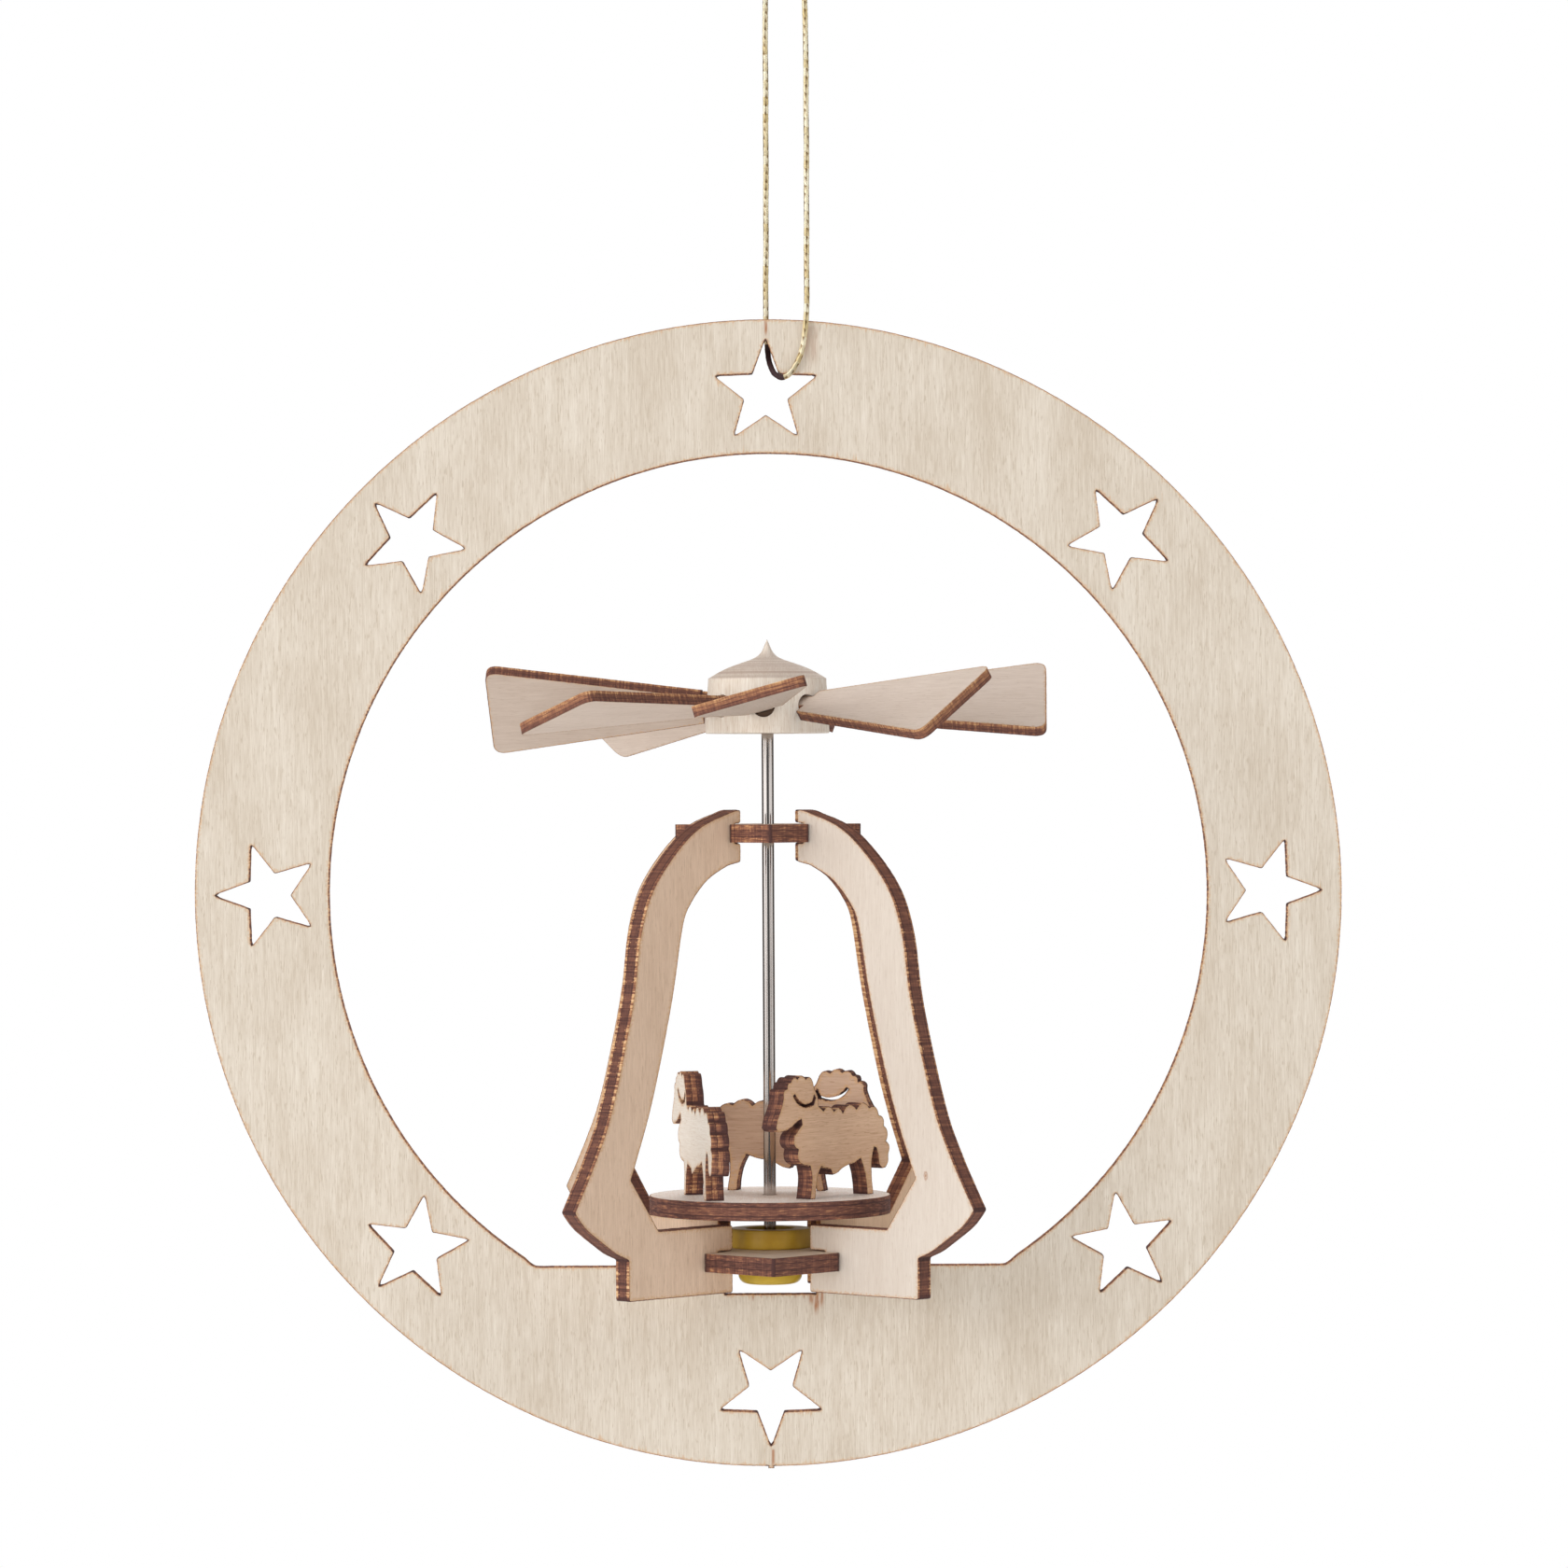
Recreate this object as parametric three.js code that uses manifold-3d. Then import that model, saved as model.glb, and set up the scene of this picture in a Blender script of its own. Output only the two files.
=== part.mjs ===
// A warm-air pyramid in a hanging plywood ring. Millimetres, +Z up, +Y away from the viewer.
// The origin is the inside of the cord loop's apex, where a hook holds the ornament.
import * as THREE from 'three';
import { mergeVertices } from 'three/addons/utils/BufferGeometryUtils.js';
import Module from 'manifold-3d';

// Sheet stock and fits
const PLY = 3;
const BLADE_PLY = 1.8;
const LAP_CLEARANCE = 0.15;
const PRESS_CLEARANCE = 0.12;
const SEAT_GAP = 0.3;

// Ring, placed below the apex of the loop and a little to its left
const RING_DROP = 157;
const RING_SIDE_OFFSET = 3.2;
const RING_OUTER_RADIUS = 95;
const RING_BAND = 22.2;
const RING_FLAT_RISE = 11;
const STAR_COUNT = 8;
const STAR_TIPS = 5;
const STAR_RIM_MARGIN = 3;
const STAR_OPENING_MARGIN = 2.8;
const STAR_WAIST = 0.413;
const STAR_ROUNDING = 0.35;
const HOLDING_TAB_WIDTH = 1;
const HOLDING_TAB_HEIGHT = 0.35;

// Plates: heights are above the lower plate's underside, which rests on the ring's flat
const UPPER_PLATE_SIDE = 22;
const UPPER_PLATE_HEIGHT = 70.2;
const UPPER_RIB_INSET = 2.9;
const LOWER_PLATE_SIDE = 34.8;
const LOWER_RIB_INSET = 6.9;
const LAP_SHARE = 0.5;
const PLATE_ROUNDING = 0.4;

// Ribs: curve points are shares of the rib's reach from the shaft's axis and of the upper plate's height
const RIB_COUNT = 4;
const FRAME_TURN = 46.4;
const RIB_ABOVE_UPPER_PLATE = 2.4;
const RIB_BELOW_UPPER_PLATE = 3.2;
const RIB_ARM_ABOVE_LOWER_PLATE = 4.3;
const RIB_FOOT_DROP = 3.8;
const RIB_REACH = 46.8;
const RIB_FOOT_RADIUS = 34.6;
const RIB_FOOT_TOP = 2.9;
const RIB_HEEL_CLEARANCE = 7.7;
const RIB_OUTER_CURVE = [
  [0.203, 1.075], [0.402, 1.027], [0.588, 0.913], [0.669, 0.798], [0.714, 0.628], [0.812, 0.4],
  [0.889, 0.286], [1, 0.16]];
const RIB_UNDER_CURVE = [[1, 0.16], [0.972, 0.137], [0.927, 0.111], [0.806, 0.06]];
const RIB_INNER_CURVE = [
  [0.726, 0.226], [0.62, 0.402], [0.521, 0.63], [0.466, 0.801], [0.425, 0.858], [0.34, 0.913],
  [0.244, 0.944]];
const RIB_OUTER_STEPS = 26;
const RIB_UNDER_STEPS = 8;
const RIB_INNER_STEPS = 18;
const RIB_ROUNDING = 0.4;

// Bearing cup, hung in the lower plate by its flange, and its glass
const CUP_BODY_RADIUS = 5.3;
const CUP_FLANGE_OVERHANG = 1.6;
const CUP_FLANGE_HEIGHT = 3.2;
const CUP_BODY_DROP = 3;
const CUP_WALL = 1.3;
const CUP_ROUNDING = 1.8;
const NOTCH_SIDE_CLEARANCE = 2.2;
const NOTCH_FLOOR_CLEARANCE = 1.7;
const GLASS_HEIGHT = 3.2;
const GLASS_CONE_RADIUS = 1.9;
const GLASS_CONE_DEPTH = 1.7;

// Shaft
const SHAFT_RADIUS = 1;
const SHAFT_POINT_LENGTH = 2.4;
const SHAFT_POINT_RADIUS = 0.15;
const SHAFT_GUIDE_CLEARANCE = 0.5;
const BEARING_CLEARANCE = 0.06;

// Turntable, just clear of the ribs' arms and the cup
const TURNTABLE_RADIUS = 20;
const TURNTABLE_CLEARANCE = 1.4;

// Hub: its crown's points are shares of the shoulder's radius and of the crown's height
const HUB_HEIGHT = 88.2;
const HUB_BASE_RADIUS = 10.3;
const HUB_SHOULDER_RADIUS = 9.8;
const HUB_WALL_HEIGHT = 9.1;
const HUB_CROWN_HEIGHT = 6.5;
const HUB_CROWN = [
  [0.91, 0.085], [0.72, 0.24], [0.46, 0.39], [0.26, 0.495], [0.155, 0.585], [0.09, 0.7], [0.045, 0.85]];
const HUB_BORE_DEPTH = 9;
const HUB_HOLE_RADIUS = 1.9;
const HUB_HOLE_HEIGHT = 4.5;
const HUB_HOLE_DEPTH = 3.8;

// Blades: the pitch that each is turned to in its hole and the rise of its axis, in degrees
const BLADE_SETTINGS = [
  [35.7, 1.4], [22, 0], [20, 0], [39.2, -2.4], [44.4, -0.5], [16.5, -2], [15.4, 1.6], [33.8, 0]];
const FIRST_BLADE_AZIMUTH = -3.5;
const BLADE_TIP_RADIUS = 46.3;
const BLADE_TIP_WIDTH = 19.4;
const BLADE_ROOT_WIDTH = 6.2;
const BLADE_ROOT_GAP = 0.3;
const BLADE_CORNER_ROUNDING = 2;
const TANG_CLEARANCE = 0.15;

// Sheep: the azimuth that each one's flat side faces, its distance from the axis and how far it
// stands ahead. Outline points are in twentieths of the height; a third value starts a curl of fleece.
const SHEEP_SETTINGS = [[-39.3, 11.4, -1.1], [-166.3, 12.1, -1.8], [78, 11.2, 0.9]];
const SHEEP_HEIGHT = 20;
const SHEEP_GRID_COUNT = 20;
const CURL = 0.27;
const SHEEP_OUTLINE = [
  [15.2, 12], [14.8, 13.4], [14.1, 14.6], [13.5, 15.9], [13.2, 17, CURL], [12.2, 18.4, CURL],
  [11.3, 19.4, CURL], [9.5, 19.9, CURL], [7.4, 19.8, CURL], [5.6, 19.4], [5.1, 18.2], [4.3, 16.9],
  [4, 15.2], [2.8, 14.4, CURL], [0, 14.2, CURL], [-2.3, 13.9, CURL], [-5.9, 14.3, CURL],
  [-9.3, 14.4, CURL], [-11.9, 13, CURL], [-13.2, 11.2, CURL], [-13.8, 8.6, CURL], [-14.4, 6.5],
  [-14.3, 5.1], [-13.6, 4.2], [-12.6, 4.1], [-11.9, 4.8], [-11.6, 6.3], [-11.1, 7.6], [-10.6, 7.7],
  [-10.1, 6.4], [-9.9, 3], [-10.3, 0], [-8.6, 0], [-8.4, 1.9], [-7.9, 4], [-6.9, 6], [-5.2, 5.4],
  [-3.5, 5.1], [-2, 4.6], [-0.9, 4], [0.4, 3.7], [1, 4.6], [3.4, 5.2], [4.2, 4], [4.7, 2], [5, 0],
  [6.4, 0], [6.1, 1.6],
  [5.9, 3.6], [6.3, 5.4], [8.3, 5.8, CURL], [9.4, 8.3, CURL], [10.4, 10.5], [9.6, 11.3], [8.4, 12.4],
  [8.6, 13.2], [9.7, 12.8], [10.9, 12.1], [12.6, 11.5], [14.6, 11.5]];
const SHEEP_EAR_SLIT = [
  [10.2, 17.3], [9.5, 16.5], [8.5, 15.9], [7, 15.6], [5.7, 15.9], [5.2, 16.9],
  [4.85, 16.6], [5.4, 15.5], [7, 15.15], [8.65, 15.45], [9.8, 16.15], [10.5, 17.1]];

// Cord: points of its middle, from the knot down behind the ring, through the star and up in front
const CORD_RADIUS = 0.5;
const CORD_SIDES = 8;
const CORD_STEPS = 78;
const CORD_ROUTE = [
  [-1, 0.1, -0.05], [-2.1, 0.2, -2.3], [-2.8, 0.4, -5.6], [-2.95, 0.6, -10], [-2.95, 1.1, -24],
  [-3, 1.8, -44], [-3.1, 2.4, -58], [-3.1, 2.5, -62.6], [-2.95, 2.4, -65.2], [-2.8, 1.9, -67.2],
  [-2.6, 0.9, -68.7], [-2.25, -0.5, -69.9], [-1.7, -1.6, -71], [-0.5, -2.3, -71.7], [0.65, -2.5, -71.2],
  [1.7, -2.5, -69.8], [2.6, -2.5, -68], [3.2, -2.4, -65.4], [3.6, -2.4, -61], [3.7, -1.9, -48],
  [3.75, -1.1, -26], [3.6, -0.6, -10], [3.2, -0.4, -5.6], [2.2, -0.2, -2.3], [1, -0.1, -0.05]];
const KNOT_RADIUS = 1.5;
const KNOT_HEIGHT = 2.8;
const KNOT_SIDES = 12;
const TAIL_RADIUS = 0.4;
const TAIL_LENGTH = 6;
const TAIL_SPREAD = 2.2;

// Facets of round pieces
const LARGE_ROUND = 120;
const MIDDLE_ROUND = 72;
const TURNED_ROUND = 36;
const SMALL_ROUND = 24;
const HOLE_ROUND = 16;
const ROUNDING_STEPS = 2;
const CUP_CORNER_STEPS = 4;
const CURL_STEPS = 4;
const BLADE_CORNER_STEPS = 5;
const SHARP_CORNER_LIMIT = 145;
const LARGEST_SETBACK = 0.48;
const MERGE_DISTANCE = 1e-4;

const wasm = await Module();
wasm.setup();

const rad = THREE.MathUtils.degToRad;
const deg = THREE.MathUtils.radToDeg;

function asVectors(points) {
  return points.map((p) => new THREE.Vector2(...p));
}

// Points round an arc, from one heading in degrees to another, both ends included
function arcPoints(radius, from, to, steps, x = 0, y = 0) {
  const points = [];
  for (let i = 0; i <= steps; i++) {
    const angle = rad(from + (to - from) * i / steps);
    points.push([x + radius * Math.cos(angle), y + radius * Math.sin(angle)]);
  }
  return points;
}

function circle(radius, steps) {
  return asVectors(arcPoints(radius, 0, 360, steps).slice(0, -1));
}

// An outline with its sharp corners eased; a corner that only follows a curve stays one point
function easedOutline(corners, rounding, steps) {
  const points = [];
  corners.forEach((corner, i) => {
    const here = new THREE.Vector2(...corner);
    const before = new THREE.Vector2(...corners.at(i - 1)).sub(here);
    const after = new THREE.Vector2(...corners[(i + 1) % corners.length]).sub(here);
    const half = before.angleTo(after) / 2;
    if (deg(2 * half) > SHARP_CORNER_LIMIT) {
      points.push(here);
      return;
    }
    const room = Math.min(before.length(), after.length()) * LARGEST_SETBACK;
    const setback = Math.min(rounding / Math.tan(half), room);
    const from = here.clone().addScaledVector(before.normalize(), setback);
    const to = here.clone().addScaledVector(after.normalize(), setback);
    points.push(...new THREE.QuadraticBezierCurve(from, here, to).getPoints(steps));
  });
  return points;
}

// A flat piece cut from a sheet: its outline in X and Y, its thickness centred on Z = 0
function sheetPiece(outline, holes, thickness) {
  const shape = new THREE.Shape(outline);
  shape.holes.push(...holes.map((hole) => new THREE.Path(hole)));
  const geometry = new THREE.ExtrudeGeometry(shape, { depth: thickness, bevelEnabled: false });
  return geometry.translate(0, 0, -thickness / 2);
}

// The same, stood up: the outline's Y becomes the height, and the thickness lies along Y
function standingPiece(outline, holes, thickness) {
  return sheetPiece(outline, holes, thickness).rotateX(Math.PI / 2);
}

// A turned piece about Z: its profile of radius and height starts and ends on the axis
function turnedPiece(profile, segments) {
  return new THREE.LatheGeometry(asVectors(profile), segments).rotateX(Math.PI / 2);
}

// An outline whose marked points each start an outward bulge, its height a share of its width
function curledOutline(corners) {
  const points = [];
  corners.forEach(([x, y, bulge = 0], i) => {
    const [nextX, nextY] = corners[(i + 1) % corners.length];
    const from = new THREE.Vector2(x, y);
    const to = new THREE.Vector2(nextX, nextY);
    const outward = new THREE.Vector2(nextY - y, x - nextX).multiplyScalar(2 * bulge);
    const control = from.clone().lerp(to, 0.5).add(outward);
    const steps = bulge > 0 ? CURL_STEPS : 1;
    points.push(...new THREE.QuadraticBezierCurve(from, control, to).getPoints(steps).slice(0, -1));
  });
  return points;
}

function toSolid(geometry) {
  const bare = geometry.clone();
  bare.deleteAttribute('normal');
  bare.deleteAttribute('uv');
  const merged = mergeVertices(bare, MERGE_DISTANCE);
  const mesh = new wasm.Mesh({
    numProp: 3,
    vertProperties: new Float32Array(merged.attributes.position.array),
    triVerts: new Uint32Array(merged.index.array),
  });
  return new wasm.Manifold(mesh);
}

function fromSolid(solid) {
  const mesh = solid.getMesh();
  const geometry = new THREE.BufferGeometry();
  geometry.setAttribute('position', new THREE.BufferAttribute(new Float32Array(mesh.vertProperties), 3));
  geometry.setIndex(new THREE.BufferAttribute(new Uint32Array(mesh.triVerts), 1));
  geometry.computeVertexNormals();
  return geometry;
}

function material(color, roughness, metalness = 0) {
  return new THREE.MeshStandardMaterial({ color, roughness, metalness });
}

function piece(name, geometry, surface, parent) {
  const mesh = new THREE.Mesh(geometry, surface);
  mesh.name = name;
  parent.add(mesh);
  return mesh;
}

const ringWood = material(0xdfd2be, 0.75);
const plateWood = material(0xd6c5ab, 0.75);
const turnedWood = material(0xe6dcc8, 0.6);
const bladeWood = material(0xcdbfae, 0.75);
const sheepWood = material(0xbf9f7f, 0.75);
const cupPlastic = material(0xa8962a, 0.4);
const clearGlass = material(0xdfe8ea, 0.1);
const steel = material(0x9a958e, 0.3, 1);
const goldThread = material(0xd8bd6a, 0.35, 0.8);

// Ring

const ringInnerRadius = RING_OUTER_RADIUS - RING_BAND;
const flatDrop = ringInnerRadius - RING_FLAT_RISE;

// A star fills the band between its two margins, with one tip up
function starOutline() {
  const lowerTipShare = Math.cos(Math.PI / STAR_TIPS);
  const radius = (RING_BAND - STAR_RIM_MARGIN - STAR_OPENING_MARGIN) / (1 + lowerTipShare);
  const middle = RING_OUTER_RADIUS - STAR_RIM_MARGIN - radius;
  const corners = [];
  for (let i = 0; i < 2 * STAR_TIPS; i++) {
    const reach = i % 2 === 0 ? radius : radius * STAR_WAIST;
    const angle = Math.PI / 2 + i * Math.PI / STAR_TIPS;
    corners.push([reach * Math.cos(angle), middle + reach * Math.sin(angle)]);
  }
  return easedOutline(corners, STAR_ROUNDING, ROUNDING_STEPS);
}

// Each star's upper tip points away from the ring's middle
function starHole(index) {
  const turn = index * 2 * Math.PI / STAR_COUNT;
  return starOutline().map((p) => p.rotateAround(new THREE.Vector2(), turn));
}

// Most of a circle, with a flat across its foot and a notch in the flat that clears the cup
function ringOpening() {
  const flatAngle = -deg(Math.asin(flatDrop / ringInnerRadius));
  const notchHalf = CUP_BODY_RADIUS + NOTCH_SIDE_CLEARANCE;
  const notchFloor = -flatDrop - CUP_BODY_DROP - NOTCH_FLOOR_CLEARANCE;
  const points = arcPoints(ringInnerRadius, flatAngle, 180 - flatAngle, LARGE_ROUND);
  points.push([-notchHalf, -flatDrop], [-notchHalf, notchFloor]);
  points.push([notchHalf, notchFloor], [notchHalf, -flatDrop]);
  return asVectors(points);
}

// The rim, with the stub of the tab that held the ring in its sheet
function ringRim() {
  const tabHalf = HOLDING_TAB_WIDTH / 2;
  const tabAngle = deg(Math.asin(tabHalf / RING_OUTER_RADIUS));
  const tabFoot = -RING_OUTER_RADIUS - HOLDING_TAB_HEIGHT;
  const points = arcPoints(RING_OUTER_RADIUS, -90 + tabAngle, 270 - tabAngle, LARGE_ROUND);
  points.push([-tabHalf, tabFoot], [tabHalf, tabFoot]);
  return asVectors(points);
}

function ringGeometry() {
  const holes = [ringOpening()];
  for (let i = 0; i < STAR_COUNT; i++) holes.push(starHole(i));
  return standingPiece(ringRim(), holes, PLY);
}

// Plates

// A square with a slot in the middle of each side that laps a rib, and a round hole in its middle
function plateGeometry(side, inset, holeRadius) {
  const half = side / 2;
  const slotHalf = PLY / 2 + LAP_CLEARANCE;
  const floor = half - inset * (1 - LAP_SHARE) - LAP_CLEARANCE;
  const quarter = [
    [half, -half], [half, -slotHalf], [floor, -slotHalf], [floor, slotHalf], [half, slotHalf]];
  const corners = [];
  for (let i = 0; i < RIB_COUNT; i++) {
    const turn = i * 2 * Math.PI / RIB_COUNT;
    for (const [x, y] of quarter) {
      corners.push([x * Math.cos(turn) - y * Math.sin(turn), x * Math.sin(turn) + y * Math.cos(turn)]);
    }
  }
  const outline = easedOutline(corners, PLATE_ROUNDING, ROUNDING_STEPS);
  return sheetPiece(outline, [circle(holeRadius, SMALL_ROUND)], PLY);
}

// Ribs

// The slot in a rib's inner end that laps a plate, from its foot to its head
function ribSlot(inner, inset, plateHeight) {
  const floor = inner + inset * LAP_SHARE;
  const low = plateHeight - LAP_CLEARANCE;
  const high = plateHeight + PLY + LAP_CLEARANCE;
  return [[inner, low], [floor, low], [floor, high], [inner, high]];
}

// A smooth stretch of a rib's edge, from the last of its points to the first
function ribCurve(points, steps) {
  const places = points.toReversed().map(([reach, height]) => [
    reach * RIB_REACH, height * UPPER_PLATE_HEIGHT]);
  return new THREE.SplineCurve(asVectors(places)).getPoints(steps).map((p) => p.toArray());
}

// Outline of one rib, anticlockwise from the foot of its inner end
function ribOutline() {
  const lowerInner = LOWER_PLATE_SIDE / 2 - LOWER_RIB_INSET;
  const upperInner = UPPER_PLATE_SIDE / 2 - UPPER_RIB_INSET;
  const beyondInner = ([radius]) => radius > upperInner;
  return [
    [lowerInner, -RIB_FOOT_DROP],
    [RIB_FOOT_RADIUS, -RIB_FOOT_DROP],
    [RIB_FOOT_RADIUS, RIB_FOOT_TOP],
    ...ribCurve(RIB_UNDER_CURVE, RIB_UNDER_STEPS).slice(0, -1),
    ...ribCurve(RIB_OUTER_CURVE, RIB_OUTER_STEPS).filter(beyondInner),
    [upperInner, UPPER_PLATE_HEIGHT + PLY + RIB_ABOVE_UPPER_PLATE],
    ...ribSlot(upperInner, UPPER_RIB_INSET, UPPER_PLATE_HEIGHT).toReversed(),
    [upperInner, UPPER_PLATE_HEIGHT - RIB_BELOW_UPPER_PLATE],
    ...ribCurve(RIB_INNER_CURVE, RIB_INNER_STEPS).filter(beyondInner),
    [TURNTABLE_RADIUS + RIB_HEEL_CLEARANCE, PLY + RIB_ARM_ABOVE_LOWER_PLATE],
    [lowerInner, PLY + RIB_ARM_ABOVE_LOWER_PLATE],
    ...ribSlot(lowerInner, LOWER_RIB_INSET, 0).toReversed()];
}

function ribGeometry() {
  return standingPiece(easedOutline(ribOutline(), RIB_ROUNDING, ROUNDING_STEPS), [], PLY);
}

// Bearing

const cupInnerRadius = CUP_BODY_RADIUS - CUP_WALL;
const cupFloor = CUP_WALL - CUP_BODY_DROP;

function cupGeometry() {
  const top = PLY + CUP_FLANGE_HEIGHT;
  const flange = CUP_BODY_RADIUS + CUP_FLANGE_OVERHANG;
  const cornerRadius = CUP_BODY_RADIUS - CUP_ROUNDING;
  const cornerHeight = CUP_ROUNDING - CUP_BODY_DROP;
  const corner = arcPoints(CUP_ROUNDING, -90, 0, CUP_CORNER_STEPS, cornerRadius, cornerHeight);
  return turnedPiece([
    [0, -CUP_BODY_DROP], ...corner, [CUP_BODY_RADIUS, PLY], [flange, PLY], [flange, top],
    [cupInnerRadius, top], [cupInnerRadius, cupFloor], [0, cupFloor]], TURNED_ROUND);
}

// The glass fills the cup's foot, and the shaft's point stands in the cone in its top
function glassGeometry() {
  const radius = cupInnerRadius - PRESS_CLEARANCE;
  const top = cupFloor + GLASS_HEIGHT;
  return turnedPiece([
    [0, cupFloor], [radius, cupFloor], [radius, top], [GLASS_CONE_RADIUS, top],
    [0, top - GLASS_CONE_DEPTH]], TURNED_ROUND);
}

// Shaft and turntable

function shaftGeometry() {
  const foot = cupFloor + GLASS_HEIGHT - GLASS_CONE_DEPTH + BEARING_CLEARANCE;
  const top = HUB_HEIGHT + HUB_BORE_DEPTH - SEAT_GAP;
  return turnedPiece([
    [0, foot], [SHAFT_POINT_RADIUS, foot + SHAFT_POINT_RADIUS], [SHAFT_RADIUS, foot + SHAFT_POINT_LENGTH],
    [SHAFT_RADIUS, top], [0, top]], SMALL_ROUND);
}

function turntableGeometry() {
  const hole = circle(SHAFT_RADIUS + PRESS_CLEARANCE, SMALL_ROUND);
  return sheetPiece(circle(TURNTABLE_RADIUS, MIDDLE_ROUND), [hole], PLY);
}

// Hub

const bladeAzimuth = (index) => FIRST_BLADE_AZIMUTH + index * 360 / BLADE_SETTINGS.length;
const hubHoleFloor = HUB_SHOULDER_RADIUS - HUB_HOLE_DEPTH;

// It flares a little to its foot, its crown sweeps up to a point, and a round hole takes each blade
function hubGeometry() {
  const bore = SHAFT_RADIUS + PRESS_CLEARANCE;
  const crown = HUB_CROWN.map(([inward, upward]) => [
    inward * HUB_SHOULDER_RADIUS, HUB_WALL_HEIGHT + upward * HUB_CROWN_HEIGHT]);
  let solid = toSolid(turnedPiece([
    [0, HUB_BORE_DEPTH], [bore, HUB_BORE_DEPTH], [bore, 0], [HUB_BASE_RADIUS, 0],
    [HUB_SHOULDER_RADIUS, HUB_WALL_HEIGHT], ...crown, [0, HUB_WALL_HEIGHT + HUB_CROWN_HEIGHT]],
  TURNED_ROUND));
  const reach = 2 * HUB_HOLE_DEPTH;
  BLADE_SETTINGS.forEach((_, i) => {
    const drill = new THREE.CylinderGeometry(HUB_HOLE_RADIUS, HUB_HOLE_RADIUS, reach, HOLE_ROUND);
    drill.rotateZ(-Math.PI / 2);
    drill.translate(hubHoleFloor + reach / 2, 0, HUB_HOLE_HEIGHT);
    drill.rotateZ(rad(bladeAzimuth(i)));
    solid = solid.subtract(toSolid(drill));
  });
  return fromSolid(solid);
}

// Blades

const bladeRootRadius = HUB_BASE_RADIUS + BLADE_ROOT_GAP;

// The outline runs along X from the tang's end in the hole to the broad tip
function bladeGeometry() {
  const tangEnd = hubHoleFloor + SEAT_GAP;
  const tangReach = HUB_HOLE_RADIUS * Math.cos(Math.PI / HOLE_ROUND) - TANG_CLEARANCE;
  const tang = Math.sqrt(tangReach ** 2 - (BLADE_PLY / 2) ** 2);
  const root = BLADE_ROOT_WIDTH / 2;
  const tip = BLADE_TIP_WIDTH / 2;
  const paddle = [
    [bladeRootRadius, -root], [BLADE_TIP_RADIUS, -tip], [BLADE_TIP_RADIUS, tip], [bladeRootRadius, root]];
  const tipCorners = easedOutline(paddle, BLADE_CORNER_ROUNDING, BLADE_CORNER_STEPS)
    .filter((p) => p.x > (bladeRootRadius + BLADE_TIP_RADIUS) / 2);
  const outline = [
    ...asVectors([[tangEnd, -tang], [bladeRootRadius, -tang], [bladeRootRadius, -root]]),
    ...tipCorners,
    ...asVectors([[bladeRootRadius, root], [bladeRootRadius, tang], [tangEnd, tang]]),
  ];
  return sheetPiece(outline, [], BLADE_PLY);
}

// A blade turns in its hole about its own axis, and stands with its anticlockwise side the higher
function addBlade([pitch, rise], index, parent) {
  const pivot = (hubHoleFloor + HUB_SHOULDER_RADIUS) / 2;
  const heading = new THREE.Group();
  heading.rotation.z = rad(bladeAzimuth(index));
  heading.position.z = HUB_HEIGHT + HUB_HOLE_HEIGHT;
  parent.add(heading);
  const blade = piece(`blade_${index + 1}`, bladeGeometry().translate(-pivot, 0, 0), bladeWood, heading);
  blade.position.x = pivot;
  blade.rotation.set(rad(pitch), -rad(rise), 0, 'ZYX');
}

// Sheep, cut from the same sheet, with their feet on the turntable

const fromGrid = ([x, y, curl]) => {
  const cell = SHEEP_HEIGHT / SHEEP_GRID_COUNT;
  return [x * cell, y * cell, curl];
};
const turntableHeight = PLY + Math.max(RIB_ARM_ABOVE_LOWER_PLATE, CUP_FLANGE_HEIGHT) + TURNTABLE_CLEARANCE;

function addSheep([azimuth, distance, ahead], index, parent) {
  const heading = new THREE.Group();
  heading.rotation.z = rad(azimuth - 90);
  heading.position.z = turntableHeight + PLY;
  parent.add(heading);
  const outline = curledOutline(SHEEP_OUTLINE.map(fromGrid));
  const earSlit = asVectors(SHEEP_EAR_SLIT.map(fromGrid));
  const geometry = standingPiece(outline, [earSlit], PLY);
  const sheep = piece(`sheep_${index + 1}`, geometry, sheepWood, heading);
  sheep.position.set(ahead, distance, 0);
}

// Cord

function cordGeometry() {
  const route = new THREE.CatmullRomCurve3(CORD_ROUTE.map((p) => new THREE.Vector3(...p)));
  const section = new THREE.Shape(circle(CORD_RADIUS, CORD_SIDES));
  return new THREE.ExtrudeGeometry(section, { steps: CORD_STEPS, extrudePath: route, bevelEnabled: false });
}

// The knot closes the loop at its apex, and its two tails stand up and apart
function knotGeometry() {
  const knot = new THREE.SphereGeometry(KNOT_RADIUS, KNOT_SIDES, CORD_SIDES).rotateX(Math.PI / 2);
  let solid = toSolid(knot.scale(1, 1, KNOT_HEIGHT / 2 / KNOT_RADIUS));
  for (const side of [-1, 1]) {
    const tail = new THREE.CylinderGeometry(TAIL_RADIUS, TAIL_RADIUS, TAIL_LENGTH, CORD_SIDES);
    tail.translate(0, TAIL_LENGTH / 2, 0).rotateX(Math.PI / 2);
    tail.rotateY(Math.atan2(side * TAIL_SPREAD, TAIL_LENGTH));
    solid = solid.add(toSolid(tail));
  }
  return fromSolid(solid);
}

// Assembly

const ornament = new THREE.Group();

const ringFrame = new THREE.Group();
ringFrame.position.set(-RING_SIDE_OFFSET, 0, -RING_DROP);
ornament.add(ringFrame);
piece('ring', ringGeometry(), ringWood, ringFrame);

// Heights in the pyramid start at the ring's flat
const pyramid = new THREE.Group();
pyramid.position.z = -flatDrop;
ringFrame.add(pyramid);

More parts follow.
